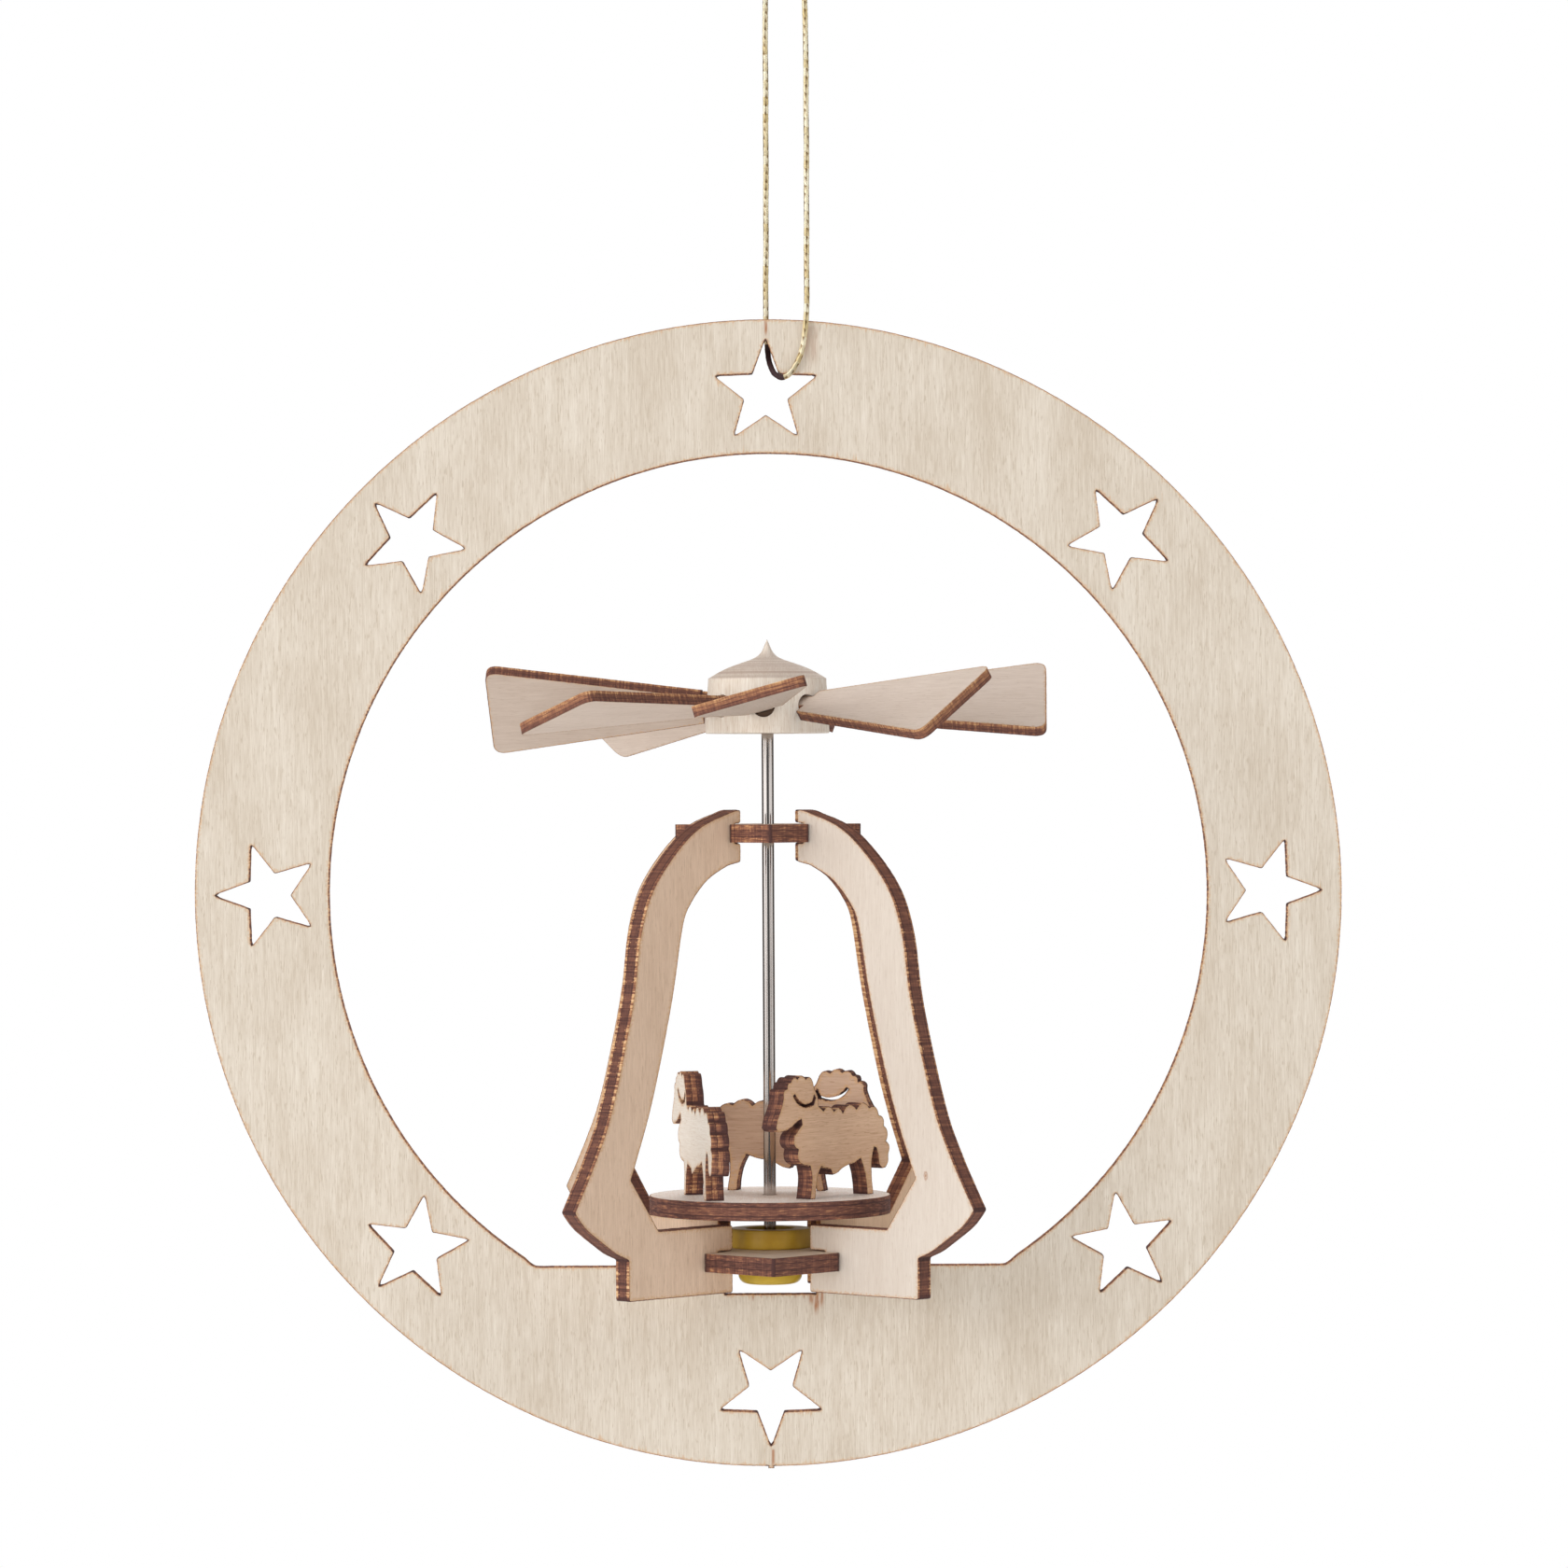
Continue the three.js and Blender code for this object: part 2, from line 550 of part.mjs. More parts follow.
const frame = new THREE.Group();
frame.rotation.z = rad(FRAME_TURN);
pyramid.add(frame);
const guideHole = SHAFT_RADIUS + SHAFT_GUIDE_CLEARANCE;
const upperGeometry = plateGeometry(UPPER_PLATE_SIDE, UPPER_RIB_INSET, guideHole);
piece('upper_plate', upperGeometry, plateWood, frame).position.z = UPPER_PLATE_HEIGHT + PLY / 2;
const cupHole = CUP_BODY_RADIUS + PRESS_CLEARANCE;
const lowerGeometry = plateGeometry(LOWER_PLATE_SIDE, LOWER_RIB_INSET, cupHole);
piece('lower_plate', lowerGeometry, plateWood, frame).position.z = PLY / 2;

['rib_back_right', 'rib_back_left', 'rib_front_left', 'rib_front_right'].forEach((name, i) => {
  const rib = piece(name, ribGeometry(), plateWood, frame);
  rib.rotation.z = i * 2 * Math.PI / RIB_COUNT;
});

piece('bearing_cup', cupGeometry(), cupPlastic, pyramid);
piece('bearing_glass', glassGeometry(), clearGlass, pyramid);

const rotor = new THREE.Group();
pyramid.add(rotor);
piece('shaft', shaftGeometry(), steel, rotor);
const turntable = piece('turntable', turntableGeometry(), plateWood, rotor);
turntable.position.z = turntableHeight + PLY / 2;
const hub = piece('hub', hubGeometry(), turnedWood, rotor);
hub.position.z = HUB_HEIGHT;
BLADE_SETTINGS.forEach((setting, i) => addBlade(setting, i, rotor));
SHEEP_SETTINGS.forEach((setting, i) => addSheep(setting, i, rotor));

piece('hanging_cord', cordGeometry(), goldThread, ornament);
const knot = piece('cord_knot', knotGeometry(), goldThread, ornament);
knot.position.z = KNOT_RADIUS;

export default ornament;
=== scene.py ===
import math

import bmesh
import bpy
import numpy as np
from mathutils import Matrix, Vector, geometry


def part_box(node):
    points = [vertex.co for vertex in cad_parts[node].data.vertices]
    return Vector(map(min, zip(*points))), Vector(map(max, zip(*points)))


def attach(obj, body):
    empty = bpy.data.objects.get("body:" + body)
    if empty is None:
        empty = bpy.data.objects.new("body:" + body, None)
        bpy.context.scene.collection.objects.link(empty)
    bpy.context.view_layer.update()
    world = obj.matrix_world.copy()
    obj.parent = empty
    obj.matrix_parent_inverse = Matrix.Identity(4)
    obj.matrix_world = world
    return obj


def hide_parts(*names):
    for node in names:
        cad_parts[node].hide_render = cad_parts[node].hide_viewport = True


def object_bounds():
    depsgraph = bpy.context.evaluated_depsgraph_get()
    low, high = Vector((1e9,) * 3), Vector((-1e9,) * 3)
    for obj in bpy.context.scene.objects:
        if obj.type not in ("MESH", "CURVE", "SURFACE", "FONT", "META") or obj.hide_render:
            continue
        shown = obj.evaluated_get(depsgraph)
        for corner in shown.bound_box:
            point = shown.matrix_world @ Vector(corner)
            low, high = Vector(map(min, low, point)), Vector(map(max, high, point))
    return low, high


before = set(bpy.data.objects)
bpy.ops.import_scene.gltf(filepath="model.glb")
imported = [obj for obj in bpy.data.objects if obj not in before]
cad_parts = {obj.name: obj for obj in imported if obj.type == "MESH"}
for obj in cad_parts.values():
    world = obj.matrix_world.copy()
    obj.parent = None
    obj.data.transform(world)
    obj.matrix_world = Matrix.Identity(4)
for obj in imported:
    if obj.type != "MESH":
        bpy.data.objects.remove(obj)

cad_low, cad_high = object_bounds()

# Camera
# The photograph was taken level, from about a metre away, and its upper edge cuts the cord's
# loop off a little under the knot.
CAMERA_PLACE = (-0.0005, -1.0, -0.139)
CAMERA_LENS = 138.4
CAMERA_SENSOR = 36
CAMERA_ROLL = math.radians(0.3)

camera = bpy.data.objects.new("camera", bpy.data.cameras.new("camera"))
camera.data.lens = CAMERA_LENS
camera.data.sensor_width = CAMERA_SENSOR
camera.location = CAMERA_PLACE
camera.rotation_euler = (math.radians(90), CAMERA_ROLL, 0)
bpy.context.scene.collection.objects.link(camera)
bpy.context.scene.camera = camera

# Hanging cord
# A limp gold cord about a millimetre thick: strands laid together, with a narrow metal foil wound
# round them. It passes through the top star, and its stretch in the star's hole is painted near
# black, dull and not metallic, as the shade there.
CORD_DIAMETER = 0.001
CORD_ROUTE = [
    (-0.001, 0.0001, -0.00005), (-0.0021, 0.0002, -0.0023), (-0.0028, 0.0004, -0.0056),
    (-0.00295, 0.0006, -0.01), (-0.00295, 0.0011, -0.024), (-0.003, 0.0018, -0.044),
    (-0.0031, 0.0024, -0.058), (-0.0031, 0.0025, -0.0626), (-0.00295, 0.0024, -0.0652),
    (-0.0028, 0.0019, -0.0672), (-0.0026, 0.0009, -0.0687), (-0.00225, -0.0005, -0.0699),
    (-0.0017, -0.0016, -0.071), (-0.0005, -0.0023, -0.0717), (0.00065, -0.0025, -0.0712),
    (0.0017, -0.0025, -0.0698), (0.0026, -0.0025, -0.068), (0.0032, -0.0024, -0.0654),
    (0.0036, -0.0024, -0.061), (0.0037, -0.0019, -0.048), (0.00375, -0.0011, -0.026),
    (0.0036, -0.0006, -0.01), (0.0032, -0.0004, -0.0056), (0.0022, -0.0002, -0.0023),
    (0.001, -0.0001, -0.00005)]
CORD_STEP = 0.00016
CORD_SIDES = 20
STRAND_COUNT = 3
STRAND_PITCH = 0.013
STRAND_DEPTH = 0.12
FOIL_PITCH = 0.0014
FOIL_DEPTH = 0.09
# The left strand below this height and behind this depth lies in the star's hole: painted dark as
# shade
HOLE_SHADE_TOP, HOLE_SHADE_FRONT = -0.066, -0.0024
FOIL_DULL, FOIL_BRIGHT = (222, 200, 148), (255, 247, 220)
# The hollow colour is painted shade in the cord's hollows; the worn colour is the foil's wear.
FOIL_HOLLOW_SHADE, FOIL_WORN, CORD_HOLE_SHADE = (122, 90, 46), (206, 176, 128), (58, 38, 40)
FOIL_GRAIN = (0.0003, 0.3, 1.0)
CURVE_SAMPLES = 40


def smooth_route(points, spacing):
    """Evenly spaced points on the smooth curve that runs through a cord's few points."""
    p = np.array(points, float)
    p = np.vstack([2 * p[0] - p[1], p, 2 * p[-1] - p[-2]])
    knots = np.concatenate([[0], np.cumsum(np.linalg.norm(np.diff(p, axis=0), axis=1) ** 0.5)])
    curve = []
    for i in range(1, len(p) - 2):
        k = knots[i - 1:i + 3]
        t = np.linspace(k[1], k[2], CURVE_SAMPLES, endpoint=False)[:, None]

        def between(a, b, low, high):
            return (a * (high - t) + b * (t - low)) / (high - low)

        first = between(p[i - 1], p[i], k[0], k[1])
        second = between(p[i], p[i + 1], k[1], k[2])
        third = between(p[i + 1], p[i + 2], k[2], k[3])
        start = between(first, second, k[0], k[2])
        end = between(second, third, k[1], k[3])
        curve.append(between(start, end, k[1], k[2]))
    curve = np.vstack([*curve, p[-2][None]])
    length = np.concatenate([[0], np.cumsum(np.linalg.norm(np.diff(curve, axis=0), axis=1))])
    even = np.linspace(0, length[-1], max(2, round(length[-1] / spacing)) + 1)
    return np.stack([np.interp(even, length, curve[:, i]) for i in range(3)], axis=1), even


def tube_mesh(name, route, radius_at, sides):
    """A closed tube along a route; radius_at gives a ring's radii from its distance and angles."""
    points, distance = route
    tangents = np.gradient(points, axis=0)
    tangents /= np.linalg.norm(tangents, axis=1)[:, None]
    side = Vector(tangents[0]).orthogonal().normalized()
    angles = np.arange(sides) * 2 * math.pi / sides
    verts = []
    for point, tangent, s in zip(points, tangents, distance):
        t = Vector(tangent)
        side = (side - side.dot(t) * t).normalized()
        up = t.cross(side)
        for angle, radius in zip(angles, radius_at(s, angles)):
            verts.append(Vector(point) + (side * math.cos(angle) + up * math.sin(angle)) * radius)
    faces = []
    for ring in range(len(points) - 1):
        for i in range(sides):
            a, b = ring * sides + i, ring * sides + (i + 1) % sides
            faces.append((a, b, b + sides, a + sides))
    faces.append(tuple(reversed(range(sides))))
    faces.append(tuple(range(len(verts) - sides, len(verts))))
    mesh = bpy.data.meshes.new(name)
    mesh.from_pydata(verts, [], faces)
    mesh.polygons.foreach_set("use_smooth", [True] * len(faces))
    return mesh


def add_piece(name, mesh):
    piece = bpy.data.objects.new(name, mesh)
    bpy.context.scene.collection.objects.link(piece)
    return piece


def cord_radii(s, angles):
    """The strands bulge and turn slowly; each turn of the foil starts with a small step."""
    strand = np.cos(STRAND_COUNT * (angles - 2 * math.pi * s / STRAND_PITCH / STRAND_COUNT))
    foil = (s / FOIL_PITCH + angles / (2 * math.pi)) % 1
    share = 1 - STRAND_DEPTH * (1 - strand) / 2 - FOIL_DEPTH * foil ** 2
    return CORD_DIAMETER / 2 * share


def add_attribute(mesh, name, kind, values):
    attribute = mesh.attributes.new(name, kind, "POINT")
    key = "vector" if kind == "FLOAT_VECTOR" else "value"
    attribute.data.foreach_set(key, np.asarray(values, np.float32).ravel())


def new_material(name):
    """A material with nothing in it yet but its shader and its output."""
    material = bpy.data.materials.new(name)
    material.use_nodes = True
    tree = material.node_tree
    tree.nodes.clear()
    shader = tree.nodes.new("ShaderNodeBsdfPrincipled")
    output = tree.nodes.new("ShaderNodeOutputMaterial")
    tree.links.new(shader.outputs[0], output.inputs[0])
    return material, tree, shader


def add_node(tree, kind, links=(), **settings):
    """A node with its settings; links give an input either a value or another node's socket."""
    node = tree.nodes.new("ShaderNode" + kind)
    for key, value in settings.items():
        setattr(node, key, value)
    for key, value in dict(links).items():
        if isinstance(value, bpy.types.NodeSocket):
            tree.links.new(value, node.inputs[key])
        else:
            node.inputs[key].default_value = value
    return node


def from_srgb(red, green, blue):
    """A colour written as it looks, 0 to 255, as the linear values that a shader takes."""
    linear = [((c / 255 + 0.055) / 1.055) ** 2.4 if c > 10 else c / 255 / 12.92
              for c in (red, green, blue)]
    return (*linear, 1.0)


def math_node(tree, operation, *values):
    return add_node(tree, "Math", enumerate(values), operation=operation).outputs[0]


def ramp(tree, value, low, high, to_low=0.0, to_high=1.0, smooth=True):
    """Value from low to high as 0 to 1, eased at both ends unless smooth is off."""
    kind = "SMOOTHSTEP" if smooth else "LINEAR"
    names = {"Value": value, "From Min": low, "From Max": high, "To Min": to_low, "To Max": to_high}
    return add_node(tree, "MapRange", names, interpolation_type=kind).outputs["Result"]


def blend_colours(tree, share, first, second):
    """A mix of two colours, each a node's socket or a colour written as it looks, 0 to 255."""
    node = tree.nodes.new("ShaderNodeMix")
    node.data_type = "RGBA"
    for number, value in ((0, share), (6, first), (7, second)):
        socket = node.inputs[number]
        if isinstance(value, bpy.types.NodeSocket):
            tree.links.new(value, socket)
        else:
            socket.default_value = from_srgb(*value)
    return node.outputs[2]


def noise(tree, place, size, detail=2.0, roughness=0.5):
    """Noise over a place in metres; size is that of its grains, or one size for each axis."""
    sizes = size if isinstance(size, tuple) else (size,) * 3
    rates = tuple(1 / x for x in sizes)
    scaled = add_node(tree, "VectorMath", {0: place, 1: rates}, operation="MULTIPLY")
    values = {"Vector": scaled.outputs[0], "Scale": 1.0, "Detail": detail, "Roughness": roughness}
    return add_node(tree, "TexNoise", values).outputs[0]


def surface_value(tree, name, output="Vector"):
    """What the piece's attribute of that name says at each point of its surface."""
    return add_node(tree, "Attribute", attribute_name=name).outputs[output]


def split(tree, vector):
    """The three parts of a vector."""
    return add_node(tree, "SeparateXYZ", {0: vector}).outputs


def set_bump(tree, shader, height, strength, distance):
    bump = add_node(tree, "Bump", {"Height": height, "Strength": strength, "Distance": distance})
    tree.links.new(bump.outputs[0], shader.inputs["Normal"])


def gold_thread(name):
    """Metal foil that varies a little from turn to turn, with painted shade in the cord's hollows.
    The "thread" attribute is the distance along the cord, the depth in a hollow, and 1 on the
    stretch in the star's hole that is painted dark as its shade."""
    material, tree, shader = new_material(name)
    thread = surface_value(tree, "thread")
    along, hollow, in_hole_shade = split(tree, thread)
    turn = math_node(tree, "FLOOR", math_node(tree, "DIVIDE", along, FOIL_PITCH))
    shade = add_node(tree, "TexWhiteNoise", {"W": turn}, noise_dimensions="1D").outputs["Value"]
    metal = blend_colours(tree, shade, FOIL_DULL, FOIL_BRIGHT)
    # Painted shade: darker between the strands and at each step of the foil, the deeper the hollow.
    metal = blend_colours(tree, ramp(tree, hollow, 0.4, 0.9), metal, FOIL_HOLLOW_SHADE)
    fine = noise(tree, thread, FOIL_GRAIN, detail=3.0)
    metal = blend_colours(tree, ramp(tree, fine, 0.55, 0.75), metal, FOIL_WORN)
    # Painted shade: the stretch in the star's hole is near black, dull and not metallic.
    tree.links.new(blend_colours(tree, in_hole_shade, metal, CORD_HOLE_SHADE), shader.inputs["Base Color"])
    tree.links.new(ramp(tree, in_hole_shade, 0.0, 1.0, 0.48, 0.0), shader.inputs["Metallic"])
    tree.links.new(ramp(tree, in_hole_shade, 0.0, 1.0, 0.3, 0.7), shader.inputs["Roughness"])
    set_bump(tree, shader, fine, 0.4, 0.00005)
    return material


cord_route = smooth_route(CORD_ROUTE, CORD_STEP)
cord_mesh = tube_mesh("gold_cord", cord_route, cord_radii, CORD_SIDES)
cord_angles = np.arange(CORD_SIDES) * 2 * math.pi / CORD_SIDES
cord_thread = []
for point, s in zip(*cord_route):
    # 1 where the strand lies in the star's hole, which is painted dark as its shade
    in_hole_shade = float(point[0] < 0 and point[2] < HOLE_SHADE_TOP and point[1] > HOLE_SHADE_FRONT)
    for radius in cord_radii(s, cord_angles):
        hollow = (1 - 2 * radius / CORD_DIAMETER) / (STRAND_DEPTH + FOIL_DEPTH)
        cord_thread.append((s, hollow, in_hole_shade))
add_attribute(cord_mesh, "thread", "FLOAT_VECTOR", cord_thread)
cord_mesh.materials.append(gold_thread("gold_thread"))
gold_cord = add_piece("gold_cord", cord_mesh)
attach(gold_cord, "frame")
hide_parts("hanging_cord")

# Knot of the loop
# The cord's two ends pass through a tight knot of the same cord and stand up from it, frayed where
# they were cut. It is the point by which the ornament hangs.
KNOT_TURNS = 2.5
KNOT_POINTS = 30
KNOT_TURN_RADIUS = 0.00098
KNOT_SWELL = 0.08
KNOT_LOW = 0.0006
KNOT_HIGH = 0.0023
KNOT_SIDES = 14
KNOT_SHADE_RATE = 4
KNOT_HOLLOW = 0.35
TAIL_ROUTE = [(0.001, 0, -0.00005), (0.00055, 0, 0.0008), (0.0003, 0, 0.0016), (0.0006, 0, 0.003),
              (0.0012, 0, 0.0046), (0.0018, 0, 0.0062)]
TAIL_START_DEPTH = 0.0001
TAIL_TIP_POINTS = 8
TAIL_SHARE = 0.78
FRAY_SEED = 4
FRAY_COUNT = 9
FRAY_LENGTH = 0.0009
FRAY_RADIUS = 0.00007
FRAY_SIDES = 6
FRAY_SPREAD = 0.35
FRAY_ROOT_DEPTH, FRAY_ROOT_SPREAD = 0.0001, 0.0002
FRAY_LOWER, FRAY_LOWER_SPREAD, FRAY_UPPER = 0.5, 0.4, 0.35


def knot_turns():
    """The turns of cord round its ends, a little wider at their middle."""
    points = []
    for share in (i / KNOT_POINTS for i in range(KNOT_POINTS + 1)):
        angle = 2 * math.pi * KNOT_TURNS * share
        radius = KNOT_TURN_RADIUS * (1 - KNOT_SWELL + KNOT_SWELL * math.sin(math.pi * share))
        height = KNOT_LOW + (KNOT_HIGH - KNOT_LOW) * share
        points.append((radius * math.cos(angle), radius * math.sin(angle), height))
    return points


def tail_radii(s, angles):
    """A tail is the cord's end, thinner because it was pulled tight."""
    return cord_radii(s, angles) * TAIL_SHARE


def fray_radii(s, angles):
    """A loose strand of a frayed end is plain and round."""
    return np.full(len(angles), FRAY_RADIUS)


def joined(name, meshes):
    """One mesh of several."""
    whole = bmesh.new()
    for mesh in meshes:
        whole.from_mesh(mesh)
    result = bpy.data.meshes.new(name)
    whole.to_mesh(result)
    whole.free()
    return result


knot_meshes = [tube_mesh("turns", smooth_route(knot_turns(), CORD_STEP), cord_radii, KNOT_SIDES)]
fray = np.random.default_rng(FRAY_SEED)
for side in (-1, 1):
    tail_points = [(side * x, -side * TAIL_START_DEPTH * (z < 0), z) for x, y, z in TAIL_ROUTE]
    tail = smooth_route(tail_points, CORD_STEP)
    knot_meshes.append(tube_mesh("tail", tail, tail_radii, KNOT_SIDES))
    tip = Vector(tail[0][-1])
    heading = (tip - Vector(tail[0][-TAIL_TIP_POINTS])).normalized()
    for _ in range(FRAY_COUNT):
        lean = Vector(fray.normal(0, FRAY_SPREAD, 3))
        start = tip - heading * FRAY_ROOT_DEPTH + lean * FRAY_ROOT_SPREAD
        bend = start + (heading + lean * FRAY_LOWER_SPREAD) * FRAY_LENGTH * FRAY_LOWER
        end = bend + (heading + lean) * FRAY_LENGTH * FRAY_UPPER
        end.z = min(end.z, cad_high.z - 2 * FRAY_RADIUS)
        strand = smooth_route([tuple(start), tuple(bend), tuple(end)], CORD_STEP)
        knot_meshes.append(tube_mesh("fray", strand, fray_radii, FRAY_SIDES))
knot_mesh = joined("loop_knot", knot_meshes)
knot_mesh.polygons.foreach_set("use_smooth", [True] * len(knot_mesh.polygons))
knot_thread = [(v.co.z * KNOT_SHADE_RATE, KNOT_HOLLOW, 0.0) for v in knot_mesh.vertices]
add_attribute(knot_mesh, "thread", "FLOAT_VECTOR", knot_thread)
knot_mesh.materials.append(bpy.data.materials["gold_thread"])
loop_knot = add_piece("loop_knot", knot_mesh)
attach(loop_knot, "frame")
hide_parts("cord_knot")

# Ring
# Three-layer plywood 3 mm thick with its face grain upright, cut by laser in one go with its eight
# stars and the flat that carries the pyramid. The cut has charred the edges and scorched the face.
RING_GRAIN = (0, 0, 1)
RING_STEP = 0.0005
RING_SEED = 11
RING_WOOD = ((229, 219, 205), (202, 187, 168), (0.34, 0.42, 0.45, 0.34))
# Each streak: its place across the grain, its lower and upper height, its width and its strength
RING_STREAKS = [
    (-0.00313, -0.0652, -0.0618, 0.0004, 0.95), (0.0046, -0.0709, -0.0628, 0.0014, 0.3),
    (0.0036, -0.0690, -0.0640, 0.0005, 0.3), (-0.0061, -0.2249, -0.2228, 0.0003, 0.8),
    (0.00445, -0.2274, -0.2228, 0.0006, 1.0), (0.0036, -0.2258, -0.2228, 0.0006, 0.8),
    (0.0053, -0.2262, -0.2228, 0.0005, 0.8), (-0.0047, -0.2243, -0.2229, 0.0003, 0.6),
    (-0.0031, -0.2241, -0.2229, 0.00026, 0.5), (-0.0012, -0.2242, -0.2229, 0.0003, 0.6),
    (0.0009, -0.2244, -0.2229, 0.00026, 0.6), (0.0024, -0.2246, -0.2229, 0.0003, 0.7),
    (-0.0029, -0.2532, -0.2490, 0.0004, 0.8)]
PLY_SHARE = 0.64
EDGE_EASE, EASE_KNEE = 0.00006, 0.3
GROOVE_DEPTH = 0.00003
GROOVE_PROFILE = ((1, 0), (0.97, 1), (0.9, 0.3))
KERF_DEPTH = 0.00004
DWELL_REACH = 0.00028
CORNER_TURN = math.radians(30)
SHARP_TURN = math.radians(40)
STRAIGHT_RATIO = 3.0
SHORTEST_MITRE, WIDEST_MITRE = 0.3, 0.5
RIM_DISTANCES = (0.00015, 0.0004, 0.0009, 0.0018)
CLOSE_ROWS_TO = 0.0005
ROW_TOLERANCE = 0.93
FACE_GRID = 0.003
FAR_FROM_CUT = 0.004
WELD_DISTANCE = 1e-6
MERGE_DISTANCE = 1e-7
UPRIGHT_LIMIT = 0.3
FLAT_COSINE = 0.999
POINTS_AT_ONCE = 400


def sheet_axes(node, grain):
    """The sheet's own axes: across its face grain, along it, and through it, up or to the front."""
    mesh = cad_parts[node].data
    largest = max(mesh.polygons, key=lambda face: face.area)
    through = largest.normal.normalized()
    if through.z < -UPRIGHT_LIMIT or (abs(through.z) <= UPRIGHT_LIMIT and through.y > 0):
        through.negate()
    along = (Vector(grain) - through * through.dot(Vector(grain))).normalized()
    return Matrix((along.cross(through), along, through))


def edge_loops(node, axes):
    """The outlines of a sheet's face, outer and inner, and the sheet's thickness and middle."""
    solid = bmesh.new()
    solid.from_mesh(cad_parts[node].data)
    bmesh.ops.remove_doubles(solid, verts=solid.verts, dist=WELD_DISTANCE)
    top = {face for face in solid.faces if face.normal.dot(axes[2]) > FLAT_COSINE}
    after = {}
    for face in solid.faces:
        for loop in face.loops:
            if face in top and len(top.intersection(loop.edge.link_faces)) == 1:
                after[loop.vert] = loop.link_loop_next.vert
    heights = [(axes @ v.co).z for v in solid.verts]
    loops = []
    while after:
        first = here = next(iter(after))
        loop = []
        while here in after:
            loop.append((axes @ here.co).to_2d())
            here = after.pop(here)
        assert here == first
        loops.append(loop)
    solid.free()
    return loops, max(heights) - min(heights), (max(heights) + min(heights)) / 2


def finer_loop(loop, step):
    """The outline with smooth curves and its points about a step apart; corners stay sharp."""
    p = np.array([tuple(v) for v in loop])
    ahead = np.roll(p, -1, axis=0) - p
    length = np.linalg.norm(ahead, axis=1)
    ahead /= length[:, None]
    behind, before = np.roll(ahead, 1, axis=0), np.roll(length, 1)
    turn = np.arccos(np.clip((ahead * behind).sum(axis=1), -1, 1))
    bend = ahead * before[:, None] + behind * length[:, None]
    bend = np.where((length > STRAIGHT_RATIO * before)[:, None], ahead, bend)
    bend = np.where((before > STRAIGHT_RATIO * length)[:, None], behind, bend)
    bend /= np.linalg.norm(bend, axis=1)[:, None]
    points = []
    for i in range(len(p)):
        j = (i + 1) % len(p)
        leave = bend[i] if turn[i] < SHARP_TURN else ahead[i]
        arrive = bend[j] if turn[j] < SHARP_TURN else ahead[i]
        count = max(1, round(length[i] / step))
        for t in np.arange(count) / count:
            place = (2 * t ** 3 - 3 * t ** 2 + 1) * p[i] + (3 * t ** 2 - 2 * t ** 3) * p[j]
            slope = (t ** 3 - 2 * t ** 2 + t) * leave + (t ** 3 - t ** 2) * arrive
            points.append(place + length[i] * slope)
    return np.array(points)


def loop_normals(loop):
    """At each point of an outline, the mitred direction into the sheet, and how far the cut there
    runs across the grain."""
    ahead = np.roll(loop, -1, axis=0) - loop
    ahead /= np.linalg.norm(ahead, axis=1)[:, None]
    along = ahead + np.roll(ahead, 1, axis=0)
    inward = np.stack([-along[:, 1], along[:, 0]], axis=1)
    inward /= np.maximum(np.linalg.norm(inward, axis=1), SHORTEST_MITRE)[:, None]
    straight = np.stack([-ahead[:, 1], ahead[:, 0]], axis=1)
    reach = 1 / np.clip((inward * straight).sum(axis=1), WIDEST_MITRE, 1)
    return inward * reach[:, None], np.abs(along[:, 0]) / np.linalg.norm(along, axis=1)


def distance_to(points, loops):
    """Each point's distance to the nearest outline, and the number of the run that is nearest."""
    starts = np.vstack(loops)
    runs = np.vstack([np.roll(loop, -1, axis=0) - loop for loop in loops])
    squares = (runs ** 2).sum(axis=1)
    nearest, number = np.empty(len(points)), np.empty(len(points), int)
    for i in range(0, len(points), POINTS_AT_ONCE):
        some = slice(i, i + POINTS_AT_ONCE)
        offset = points[some, None, :] - starts[None]
        t = np.clip((offset * runs).sum(axis=2) / squares, 0, 1)
        gaps = ((offset - t[..., None] * runs) ** 2).sum(axis=2)
        number[some] = gaps.argmin(axis=1)
        nearest[some] = np.sqrt(gaps.min(axis=1))
    return nearest, number


def dwell_at(points, loops):
    """How much longer the laser stood over each point than elsewhere: 1 at an outline's corners."""
    corners = []
    for loop in loops:
        ahead = np.roll(loop, -1, axis=0) - loop
        ahead /= np.linalg.norm(ahead, axis=1)[:, None]
        turn = np.arccos(np.clip((ahead * np.roll(ahead, 1, axis=0)).sum(axis=1), -1, 1))
        corners.append(loop[turn > CORNER_TURN])
    dwell = np.zeros(len(points))
    for corner in np.vstack(corners):
        gaps = np.linalg.norm(points - corner, axis=1)
        dwell = np.maximum(dwell, np.exp(-(gaps / DWELL_REACH) ** 2))
    return dwell


def inside(points, loops):
    """Whether each point lies on the sheet: an odd number of outline runs pass above it."""
    crossings = np.zeros(len(points), int)
    for loop in loops:
        after = np.roll(loop, -1, axis=0)
        across = after[:, 0] - loop[:, 0]
        slope = (after[:, 1] - loop[:, 1]) / np.where(across == 0, 1, across)
        for i in range(0, len(points), POINTS_AT_ONCE):
            some = slice(i, i + POINTS_AT_ONCE)
            x, y = points[some, 0, None], points[some, 1, None]
            spans = (loop[:, 0] > x) != (after[:, 0] > x)
            crossings[some] += (spans & (loop[:, 1] + slope * (x - loop[:, 0]) > y)).sum(axis=1)
    return crossings % 2 == 1


